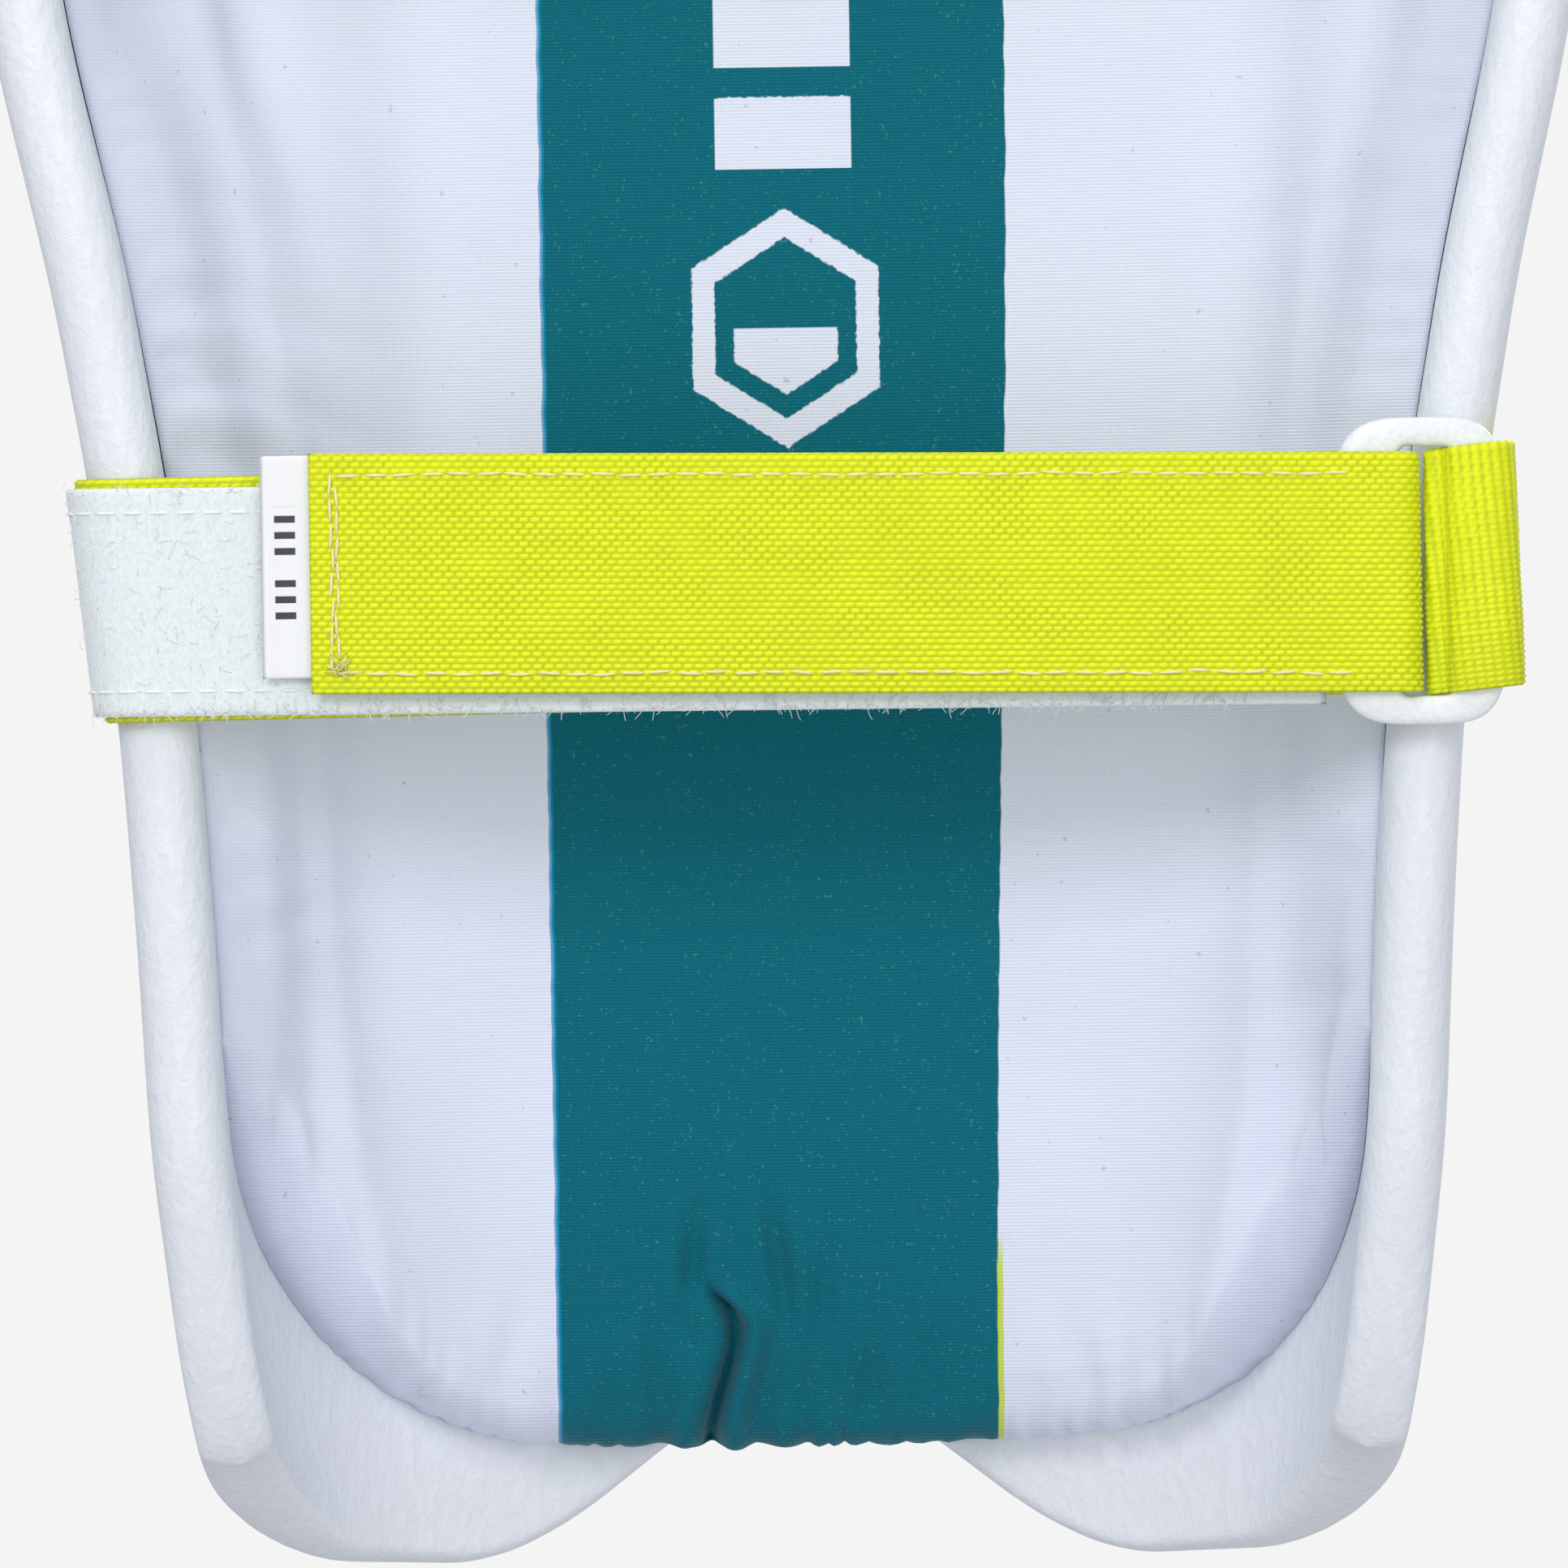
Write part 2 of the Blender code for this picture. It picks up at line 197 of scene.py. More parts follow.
@dataclass(frozen=True)
class PadForm:
    """The moulded shell's plain outer face, and places below it."""

    height: float = 600.0
    half_width: Stations = (
        (0, 90), (12, 93.2), (28, 96.6), (65, 101), (100, 102.7), (130, 104.7), (167, 108.6),
        (200, 114.3), (236, 122.5), (285, 130.5), (315, 133), (345, 133), (400, 129.5), (470, 123),
        (540, 118), (575, 111), (600, 96),
    )
    front: Stations = (
        (0, 68), (25, 59), (60, 51), (120, 48), (200, 50), (310, 57), (420, 66), (470, 62), (540, 50),
        (600, 42),
    )
    wing: Stations = (
        (0, -18), (12, 2), (30, 14), (60, 24), (110, 29), (180, 31), (450, 33), (520, 22), (570, 4),
        (600, -12),
    )
    roundness: float = 2.5
    wall: float = 12.0
    notch_height: float = 28.0
    notch_half_width: float = 60.0
    top_corner: float = 48.0
    hem_corner: float = 15.0
    levels: int = 301
    steps: int = 181
    margin: float = 10.0

    def table(self) -> tuple[np.ndarray, np.ndarray, np.ndarray]:
        """The section at many heights: x and y at even steps along its half, and the half's length."""
        heights = np.linspace(-self.margin, self.height + self.margin, self.levels)
        x, y, lengths = [], [], []
        for half_width, front, rim in zip(
            between(self.half_width, heights), between(self.front, heights), -between(self.wing, heights)
        ):
            angle = np.linspace(0, math.pi / 2, 240)
            px = half_width * np.sin(angle) ** (2 / self.roundness)
            py = front * np.cos(angle) ** (2 / self.roundness)
            kept = py > rim
            px, py = np.append(px[kept], half_width), np.append(py[kept], min(rim, py[kept][-1]))
            length = np.concatenate([[0], np.cumsum(np.hypot(np.diff(px), np.diff(py)))])
            even = np.linspace(0, length[-1], self.steps)
            x.append(np.interp(even, length, px))
            y.append(np.interp(even, length, py))
            lengths.append(length[-1])
        return np.array(x), np.array(y), np.array(lengths)

    def outer(self, u: np.ndarray, z: np.ndarray) -> np.ndarray:
        """Points of the outer face; u runs from the left rim, -1, round the front to the right rim, 1."""
        x, y, _ = TABLE
        rise = np.clip(z, -self.margin, self.height + self.margin) + self.margin
        row = rise / (self.height + 2 * self.margin) * (self.levels - 1)
        column = np.clip(np.abs(u), 0, 1) * (self.steps - 1)
        low_row = np.minimum(row.astype(int), self.levels - 2)
        low_column = np.minimum(column.astype(int), self.steps - 2)
        a, b = row - low_row, column - low_column

        def blend(grid: np.ndarray) -> np.ndarray:
            """Straight-line mix of the four table values round each place."""
            near = grid[low_row, low_column] * (1 - b) + grid[low_row, low_column + 1] * b
            far = grid[low_row + 1, low_column] * (1 - b) + grid[low_row + 1, low_column + 1] * b
            return near * (1 - a) + far * a

        return np.stack([np.sign(u) * blend(x), blend(y), z + 0 * u], axis=-1)

    def inward(self, u: np.ndarray, z: np.ndarray, step: float = 0.02) -> np.ndarray:
        """Unit normals of the outer face that point to the leg; a wide step evens them out round the corners.

        Args:
            u: Place across the section, from -1 at one rim to 1 at the other.
            z: Height in millimetres.
            step: Half of the difference taken in u.

        Returns:
            One unit vector per point.
        """
        across = self.outer(np.minimum(u + step, 1), z) - self.outer(np.maximum(u - step, -1), z)
        up = self.outer(u, z + 3) - self.outer(u, z - 3)
        normal = np.cross(across, up)
        return normal / np.linalg.norm(normal, axis=-1, keepdims=True)

    def half_length(self, z: np.ndarray) -> np.ndarray:
        """Length of the section from the front's middle to the rim, at each height."""
        heights = np.linspace(-self.margin, self.height + self.margin, self.levels)
        return np.interp(z, heights, TABLE[2])

    def low(self, u: np.ndarray) -> np.ndarray:
        """Height of the bottom edge: a half cosine over the instep, a level hem, quarter-circle corners."""
        low = np.full_like(u, self.notch_half_width / 4)
        radius = self.hem_corner
        for _ in range(8):
            x = np.abs(self.outer(u, low)[..., 0])
            turn = math.pi * np.minimum(x / self.notch_half_width, 1)
            notch = self.notch_height * 0.5 * (1 + np.cos(turn))
            side = self.outer(np.ones_like(u), low)[..., 0]
            corner = radius - np.sqrt(radius**2 - np.square(np.clip(x - side + radius, 0, radius)))
            low = 0.5 * low + 0.5 * (notch + corner)
        return low

    def high(self, u: np.ndarray) -> np.ndarray:
        """Height of the top edge, which falls as a square towards the corners."""
        return self.height - self.top_corner * np.maximum(0, (np.abs(u) - 0.35) / 0.65) ** 2


FORM = PadForm()
TABLE = FORM.table()


# -------------------------------------------------------------------------------------------- finishes


class Graph:
    """A shader node tree with short calls for what the finishes need."""

    def __init__(self, tree: bpy.types.NodeTree) -> None:
        """Keep the tree that the calls add to."""
        self.tree = tree

    def put(self, socket: bpy.types.NodeSocket, value: object) -> None:
        """Link a socket to an input, or set the input to a plain value."""
        if isinstance(value, bpy.types.NodeSocket):
            self.tree.links.new(value, socket)
        elif isinstance(value, tuple) and len(value) == 3 and socket.type == "RGBA":
            socket.default_value = (*value, 1.0)
        else:
            socket.default_value = value

    def add(self, kind: str, inputs: Optional[dict] = None, **settings: object) -> bpy.types.Node:
        """Add a node, set its properties, and put a value or a link on its named inputs."""
        node = self.tree.nodes.new(kind)
        for key, value in settings.items():
            setattr(node, key, value)
        for key, value in (inputs or {}).items():
            self.put(node.inputs[key], value)
        return node

    def group(self, tree: bpy.types.NodeTree, inputs: dict) -> bpy.types.Node:
        """A node that uses one of the shared groups; the tree is set before its inputs."""
        return self.add("ShaderNodeGroup", inputs, node_tree=tree)

    def math(self, operation: str, a: object, b: object = 0.0, c: object = 0.0) -> bpy.types.NodeSocket:
        """One Math node; unused operands stay at zero."""
        node = self.add("ShaderNodeMath", operation=operation)
        for socket, value in zip(node.inputs, (a, b, c)):
            self.put(socket, value)
        return node.outputs[0]

    def span(
        self, value: object, low: float, high: float, to_low: float = 0.0, to_high: float = 1.0
    ) -> bpy.types.NodeSocket:
        """A clamped Map Range with eased ends."""
        node = self.add("ShaderNodeMapRange", interpolation_type="SMOOTHSTEP")
        for socket, amount in zip(node.inputs, (value, low, high, to_low, to_high)):
            self.put(socket, amount)
        return node.outputs[0]

    def mix(self, factor: object, a: object, b: object) -> bpy.types.NodeSocket:
        """Mix two colours."""
        node = self.add("ShaderNodeMix", data_type="RGBA")
        self.put(node.inputs[0], factor)
        self.put(node.inputs[6], a)
        self.put(node.inputs[7], b)
        return node.outputs[2]

    def object_place(self) -> tuple[bpy.types.NodeSocket, list[bpy.types.NodeSocket]]:
        """Object coordinates in millimetres, whole and split into x, y and z."""
        coordinate = self.add("ShaderNodeTexCoord").outputs["Object"]
        scaled = self.add("ShaderNodeVectorMath", {0: coordinate}, operation="SCALE")
        scaled.inputs["Scale"].default_value = 1 / MM
        split = self.add("ShaderNodeSeparateXYZ", {0: scaled.outputs[0]})
        return scaled.outputs[0], list(split.outputs)

    def noise(
        self, place: object, cell: float, detail: float = 2.0, stretch: tuple = (1, 1, 1)
    ) -> bpy.types.NodeSocket:
        """Noise about 0.5, with a given cell size in millimetres, drawn out along an axis if asked."""
        mapping = self.add("ShaderNodeMapping", {"Vector": place})
        mapping.inputs["Scale"].default_value = tuple(s / cell for s in stretch)
        inputs = {"Vector": mapping.outputs[0], "Scale": 1.0, "Detail": detail}
        texture = self.add("ShaderNodeTexNoise", inputs)
        return texture.outputs["Fac"]


def shader_group(name: str, inputs: dict, outputs: Sequence[str], build: Callable) -> bpy.types.NodeTree:
    """Make a shader node group once.

    Args:
        name: the group's name.
        inputs: socket name to default value; a tuple makes a vector.
        outputs: names of float outputs.
        build: called with the graph and the input sockets by name; returns the output sockets in order.

    Returns:
        The group.
    """
    if name in bpy.data.node_groups:
        return bpy.data.node_groups[name]
    group = bpy.data.node_groups.new(name, "ShaderNodeTree")
    for key, value in inputs.items():
        kind = "NodeSocketVector" if isinstance(value, tuple) else "NodeSocketFloat"
        group.interface.new_socket(key, in_out="INPUT", socket_type=kind).default_value = value
    for key in outputs:
        group.interface.new_socket(key, in_out="OUTPUT", socket_type="NodeSocketFloat")
    graph = Graph(group)
    source = graph.add("NodeGroupInput")
    made = build(graph, {key: source.outputs[key] for key in inputs})
    target = graph.add("NodeGroupOutput")
    for key, socket in zip(outputs, made):
        graph.put(target.inputs[key], socket)
    return group


def grain_group() -> bpy.types.NodeTree:
    """Two sizes of noise added up: a height for bump, and a soft mottle from the coarser one."""

    def build(graph: Graph, given: dict) -> list:
        """Scale the place by one over the cell, then by 3.1 over the cell."""
        heights = []
        for factor in (1.0, 3.1):
            inverse = graph.math("DIVIDE", factor, given["Cell"])
            scaled = graph.add("ShaderNodeVectorMath", {0: given["Place"]}, operation="SCALE")
            graph.put(scaled.inputs["Scale"], inverse)
            inputs = {"Vector": scaled.outputs[0], "Scale": 1.0, "Detail": 2.0}
            texture = graph.add("ShaderNodeTexNoise", inputs)
            heights.append(texture.outputs["Fac"])
        fine = graph.math("MULTIPLY", heights[1], 0.45)
        return [graph.math("ADD", heights[0], fine), graph.span(heights[0], 0.32, 0.68)]

    return shader_group("grain", {"Place": (0.0, 0.0, 0.0), "Cell": 1.0}, ("Height", "Mottle"), build)


def weave_group() -> bpy.types.NodeTree:
    """Plain weave: a sine up plus a weaker sine across, each one thread wide."""

    def build(graph: Graph, given: dict) -> list:
        """Height is 0.5 plus 0.37 times (sine up plus 0.35 of the sine across)."""
        split = graph.add("ShaderNodeSeparateXYZ", {0: given["Place"]})
        waves = []
        for axis, pitch in ((0, "Pitch X"), (2, "Pitch Z")):
            turn = graph.math("MULTIPLY", split.outputs[axis], math.tau)
            waves.append(graph.math("SINE", graph.math("DIVIDE", turn, given[pitch])))
        across, up = waves
        both = graph.math("ADD", up, graph.math("MULTIPLY", across, 0.35))
        return [graph.math("MULTIPLY_ADD", both, 0.37, 0.5)]

    inputs = {"Place": (0.0, 0.0, 0.0), "Pitch X": 0.4, "Pitch Z": 0.5}
    return shader_group("thread_weave", inputs, ("Height",), build)


@dataclass(frozen=True)
class Finish:
    """A material: its name, the record's slot, and the shader's own plain values."""

    name: str
    slot: str
    colour: tuple[float, float, float]
    roughness: float
    sheen: float = 0.0
    specular: float = 0.5
    scatter: float = 0.0

    def material(self) -> bpy.types.Material:
        """The material, made at its first use."""
        if self.name in bpy.data.materials:
            return bpy.data.materials[self.name]
        material = bpy.data.materials.new(self.name)
        material.use_nodes = True
        graph = Graph(material.node_tree)
        shader = material.node_tree.nodes["Principled BSDF"]
        colour, roughness, height, depth = self.surface(graph)
        plain = {
            "Sheen Weight": self.sheen, "Sheen Roughness": 0.4, "Specular IOR Level": self.specular,
            "Subsurface Weight": self.scatter, "Subsurface Scale": 0.003,
            "Subsurface Radius": (1.0, 0.9, 0.85), "Base Color": colour, "Roughness": roughness,
        }
        for key, value in plain.items():
            graph.put(shader.inputs[key], value)
        bump = graph.add("ShaderNodeBump", {"Height": height, "Distance": depth * MM, "Strength": 1.0})
        graph.put(shader.inputs["Normal"], bump.outputs["Normal"])
        return material

    def surface(self, graph: Graph) -> tuple[object, object, object, float]:
        """Colour, roughness, bump height and the bump's depth in millimetres; a fine grain by default."""
        place, _ = graph.object_place()
        grain = graph.group(grain_group(), {"Place": place, "Cell": 0.8})
        dark = tuple(c * 0.92 for c in self.colour)
        colour = graph.mix(grain.outputs["Mottle"], dark, self.colour)
        rough = graph.span(grain.outputs["Mottle"], 0, 1, self.roughness * 0.92, self.roughness * 1.08)
        return colour, rough, grain.outputs["Height"], 0.03

    def dress(self, piece: bpy.types.Object) -> bpy.types.Object:
        """Give a piece this finish."""
        piece.data.materials.clear()
        piece.data.materials.append(self.material())
        return piece


@dataclass(frozen=True)
class FoamSkin(Finish):
    """Moulded foam skin: orange-peel grain, faint upright pearly streaks and cloudy mottling."""

    def surface(self, graph: Graph) -> tuple[object, object, object, float]:
        """Fine grain for bump; streaks and clouds shift the colour by a few percent."""
        place, _ = graph.object_place()
        grain = graph.group(grain_group(), {"Place": place, "Cell": 1.15})
        streak = graph.span(graph.noise(place, 1.9, 3.0, (1.0, 1.0, 0.5)), 0.38, 0.66)
        cloud = graph.span(graph.noise(place, 26.0, 2.0), 0.35, 0.65)
        pearl = tuple(min(1.0, c * 1.07) for c in self.colour)
        shade = tuple(c * 0.955 for c in self.colour)
        colour = graph.mix(graph.math("MULTIPLY", streak, 0.55), self.colour, pearl)
        colour = graph.mix(graph.math("MULTIPLY", cloud, 0.3), colour, shade)
        rough = graph.span(streak, 0, 1, self.roughness * 1.12, self.roughness * 0.8)
        height = graph.math("ADD", grain.outputs["Height"], graph.math("MULTIPLY", streak, 0.5))
        return colour, rough, height, 0.16


@dataclass(frozen=True)
class LiningCloth(Finish):
    """Fine cotton-blend lining, with an upright printed band and plain white shapes where asked."""

    printed: bool = False
    band_colour: tuple[float, float, float] = (0.0, 0.148, 0.205)
    slip_blue: tuple[float, float, float] = (0.0, 0.26, 0.50)
    slip_lime: tuple[float, float, float] = (0.55, 0.68, 0.02)
    motif_middle: float = 193.0
    block_foot: float = 218.0
    block_pitch: float = 16.0

    def surface(self, graph: Graph) -> tuple[object, object, object, float]:
        """Thread weave for bump, with painted shade where it is low; a smudgy cloud and lint specks; then the
        print over the white.
        """
        place, (x, _, z) = graph.object_place()
        weave = graph.group(weave_group(), {"Place": place, "Pitch X": 0.42, "Pitch Z": 0.52})
        slub = graph.noise(place, 1.1, 2.0, (0.18, 1.0, 1.0))
        cloud = graph.span(graph.noise(place, 30.0, 2.0), 0.35, 0.7)
        shade = tuple(c * 0.95 for c in self.colour)
        white = graph.mix(graph.math("MULTIPLY", cloud, 0.35), self.colour, shade)
        thread = weave.outputs["Height"]
        # painted shade: the white darkens towards grey-blue where the weave is low
        white = graph.mix(graph.span(thread, 0.1, 0.9, 0.16, 0.0), white, (0.62, 0.63, 0.72))
        lint = graph.span(graph.noise(place, 1.6, 1.0), 0.765, 0.80)
        white = graph.mix(graph.math("MULTIPLY", lint, 0.5), white, (0.42, 0.43, 0.47))
        height = graph.math("ADD", thread, slub)
        colour = self.print_over(graph, white, place, x, z, thread) if self.printed else white
        return colour, self.roughness, height, 0.07

    def print_over(
        self, graph: Graph, white: object, place: object, x: object, z: object, thread: object
    ) -> bpy.types.NodeSocket:
        """The band between two wavy edges, a misplaced sliver along each, a white hexagon and plain blocks;
        the band's teal carries painted shade where its weave is low.

        Args:
            graph: the material's graph.
            white: colour of the plain cloth.
            place: place in millimetres.
            x: its first part.
            z: its last part.
            thread: height of the weave.

        Returns:
            The cloth's colour with the print over it.
        """
        wave = graph.math("MULTIPLY_ADD", graph.noise(place, 7.0, 2.0, (0.0, 0.0, 1.0)), 0.9, -0.45)
        rise = graph.span(z, 18, 245)
        left = graph.math("ADD", wave, -38.1)
        right = graph.math("ADD", graph.math("MULTIPLY_ADD", rise, 4.1, 30.9), wave)
        from_left = graph.math("SUBTRACT", x, left)
        from_right = graph.math("SUBTRACT", right, x)
        low = graph.span(z, 44, 52, 1.0, 0.0)
        band = graph.math("MULTIPLY", graph.span(from_left, -0.15, 0.15),
                          graph.span(from_right, -0.15, 0.15))
        blue = graph.math("MULTIPLY", graph.span(from_left, -0.45, -0.3),
                          graph.span(from_left, 0.25, 0.5, 1.0, 0.0))
        lime = graph.math("MULTIPLY", graph.span(from_right, -0.9, -0.7),
                          graph.span(from_right, 0.0, 0.25, 1.0, 0.0))
        lime = graph.math("MULTIPLY", lime, low)
        speck = graph.math("MULTIPLY", graph.span(graph.noise(place, 0.55, 1.0), 0.66, 0.74), 0.55)
        # painted shade: the teal darkens where the weave is low
        dark = tuple(c * 0.82 for c in self.band_colour)
        teal = graph.mix(graph.span(thread, 0.2, 0.9), dark, self.band_colour)
        teal = graph.mix(graph.math("MULTIPLY", speck, 0.7), teal, (0.10, 0.34, 0.24))
        colour = graph.mix(band, white, teal)
        colour = graph.mix(graph.math("MULTIPLY", blue, 0.8), colour, self.slip_blue)
        colour = graph.mix(graph.math("MULTIPLY", lime, 0.9), colour, self.slip_lime)
        ragged = graph.math("MULTIPLY_ADD", graph.noise(place, 0.9, 2.0), 0.05, -0.025)
        aside = graph.math("ABSOLUTE", x)
        above = graph.math("SUBTRACT", z, self.motif_middle)
        up = graph.math("DIVIDE", graph.math("ABSOLUTE", above), 19.0)
        slant = graph.math("ADD", graph.math("DIVIDE", aside, 30.0), up)
        reach = graph.math("ADD", graph.math("MAXIMUM", graph.math("DIVIDE", aside, 14.8), slant), ragged)
        rim = graph.math("MULTIPLY", graph.span(reach, 0.98, 1.0, 1.0, 0.0), graph.span(reach, 0.74, 0.76))
        core = graph.math("MULTIPLY", graph.span(reach, 0.54, 0.56, 1.0, 0.0),
                          graph.span(above, -0.1, 0.1, 1.0, 0.0))
        rise = graph.math("SUBTRACT", z, self.block_foot)
        turn = graph.math("FRACT", graph.math("DIVIDE", rise, self.block_pitch))
        block = graph.math("MULTIPLY", graph.span(graph.math("ADD", turn, ragged), 0.70, 0.715, 1.0, 0.0),
                           graph.span(graph.math("ADD", aside, ragged), 10.6, 10.8, 1.0, 0.0))
        block = graph.math("MULTIPLY", block, graph.span(z, self.block_foot - 0.1, self.block_foot + 0.1))
        motif = graph.math("MAXIMUM", graph.math("MAXIMUM", rim, core), block)
        return graph.mix(motif, colour, white)


@dataclass(frozen=True)
class Webbing(Finish):
    """Bright polyester webbing with twisted fibres along each float, with painted shade between its yarns and
    a painted highlight on their crowns.
    """

    # top is a painted highlight colour for the yarn crowns; valley is painted shade between the yarns
    top: tuple[float, float, float] = (0.92, 0.95, 0.04)
    valley: tuple[float, float, float] = (0.55, 0.62, 0.0)

    def surface(self, graph: Graph) -> tuple[object, object, object, float]:
        """Colour follows the stored relief of the yarns, as painted shade in the valleys and a painted
        highlight on the crowns; fine slanting fibres make the bump.
        """
        place, _ = graph.object_place()
        relief = graph.add("ShaderNodeAttribute", attribute_name="relief").outputs["Fac"]
        fibre = graph.noise(place, 0.32, 2.0, (0.4, 1.0, 1.6))
        # painted shade: the colour falls to the valley colour where the yarn relief is low
        colour = graph.mix(graph.span(relief, 0.05, 0.8), self.valley, self.colour)
        # painted highlight: the yarn crowns lighten along the fibres
        light = graph.math("MULTIPLY", graph.span(relief, 0.7, 1.0), graph.span(fibre, 0.45, 0.68))
        colour = graph.mix(light, colour, self.top)
        cloud = graph.span(graph.noise(place, 14.0, 2.0), 0.35, 0.65, 0.0, 0.12)
        colour = graph.mix(cloud, colour, self.valley)
        return colour, self.roughness, fibre, 0.09


@dataclass(frozen=True)
class Pile(Finish):
    """Brushed loop tape: a cloudy felt of fine white loops that lets its ladder selvage show."""

    def surface(self, graph: Graph) -> tuple[object, object, object, float]:
        """Short upright tufts for bump; painted shade, darker and a little green, fills the hollows between
        tufts and the knit's low lines.
        """
        place, _ = graph.object_place()
        tuft = graph.noise(place, 0.55, 3.0, (1.0, 1.0, 0.6))
        knit = graph.noise(place, 1.4, 1.0, (1.6, 1.0, 0.35))
        # painted shade: a darker, greener colour for the hollows between tufts and along the knit
        hollow_shade = tuple(c * f for c, f in zip(self.colour, (0.90, 0.94, 0.90)))
        colour = graph.mix(graph.span(tuft, 0.35, 0.6), hollow_shade, self.colour)
        colour = graph.mix(graph.span(knit, 0.3, 0.5, 0.3, 0.0), colour, hollow_shade)
        return colour, self.roughness, graph.math("ADD", tuft, graph.math("MULTIPLY", knit, 0.4)), 0.14


@dataclass(frozen=True)
class Ribbon(Finish):
    """White satin ribbon with plain dark bars across it, in two blocks."""

    middle_x: float = -78.4
    middle_z: float = 156.3
    bar_pitch: float = 2.5

    def surface(self, graph: Graph) -> tuple[object, object, object, float]:
        """Bars of 1.2 mm repeat along z inside a 20 mm block; a satin weave makes the bump."""
        place, (x, _, z) = graph.object_place()
        aside = graph.math("ABSOLUTE", graph.math("SUBTRACT", x, self.middle_x))
        along = graph.math("ABSOLUTE", graph.math("SUBTRACT", z, self.middle_z))
        block = graph.math("MULTIPLY", graph.span(aside, 1.55, 1.7, 1.0, 0.0),
                           graph.span(along, 9.3, 9.5, 1.0, 0.0))
        block = graph.math("MULTIPLY", block, graph.span(along, 0.9, 1.1))
        turn = graph.math("FRACT", graph.math("DIVIDE", graph.math("ADD", z, 400.0), self.bar_pitch))
        bar = graph.span(graph.math("ABSOLUTE", graph.math("SUBTRACT", turn, 0.5)), 0.2, 0.24, 1.0, 0.0)
        weave = graph.group(weave_group(), {"Place": place, "Pitch X": 0.3, "Pitch Z": 0.22})
        colour = graph.mix(graph.math("MULTIPLY", block, bar), self.colour, (0.035, 0.035, 0.05))
        return colour, self.roughness, weave.outputs["Height"], 0.03


FOAM_SKIN = FoamSkin("foam_skin", "foam_shell", (0.78, 0.805, 0.86), 0.46, specular=0.45, scatter=0.12)
CLOTH_WHITE = (0.76, 0.79, 0.94)
PLAIN_LINING = LiningCloth("plain_lining", "lining_cloth", CLOTH_WHITE, 0.9, sheen=0.15, specular=0.2)
LINING = replace(PLAIN_LINING, name="printed_lining", printed=True)
WEBBING = Webbing("woven_webbing", "yellow_webbing", (0.87, 0.93, 0.004), 0.62, sheen=0.1, specular=0.35)
PILE = Pile("loop_pile", "white_pile_tape", (0.79, 0.83, 0.86), 0.95, sheen=0.4, specular=0.15)
HOOKS = Finish("hook_tape", "white_hook_tape", (0.80, 0.82, 0.79), 0.6)
PLASTIC = Finish("ring_plastic", "white_plastic", (0.84, 0.86, 0.87), 0.38, specular=0.5, scatter=0.35)
RIBBON = Ribbon("printed_ribbon", "white_ribbon", (0.86, 0.86, 0.89), 0.42, sheen=0.1)
CREAM_THREAD = Finish("cream_thread", "yellow_webbing", (0.86, 0.80, 0.36), 0.7, sheen=0.2)
WHITE_THREAD = Finish("white_thread", "white_pile_tape", (0.88, 0.90, 0.88), 0.7, sheen=0.2)


# --------------------------------------------------------------------------------------- shell, cushions


def rounded(distance: np.ndarray, radius: float) -> np.ndarray:
    """0 at an edge to 1 at the radius and beyond, along a quarter circle."""
    return np.sqrt(np.maximum(0, 1 - np.square(1 - np.clip(distance / radius, 0, 1))))


def resample(grid: np.ndarray, t: np.ndarray, s: np.ndarray) -> np.ndarray:
    """Read an even grid at rows t and columns s, both from 0 to 1, by straight-line mixing."""
    row, column = t * (grid.shape[0] - 1), s * (grid.shape[1] - 1)
    i = np.minimum(row.astype(int), grid.shape[0] - 2)
    j = np.minimum(column.astype(int), grid.shape[1] - 2)
    a, b = (row - i)[:, None, None], (column - j)[None, :, None]
    near = grid[i][:, j] * (1 - b) + grid[i][:, j + 1] * b
    far = grid[i + 1][:, j] * (1 - b) + grid[i + 1][:, j + 1] * b
    return near * (1 - a) + far * a


def sharpened(count: int, centre: float, width: float, strength: float) -> np.ndarray:
    """Grid positions 0 to 1 that crowd round one place.

    Args:
        count: number of positions.
        centre: the place, 0 to 1.
        width: the crowd's half width.
        strength: extra density at the centre.

    Returns:
        Positions whose density is one plus a hump.
    """
    even = np.linspace(0, 1, 4001)
    density = 1 + strength * bell((even - centre) / width)
    total = np.concatenate([[0], np.cumsum((density[1:] + density[:-1]) / 2)])
    return np.interp(np.linspace(0, 1, count), total / total[-1], even)


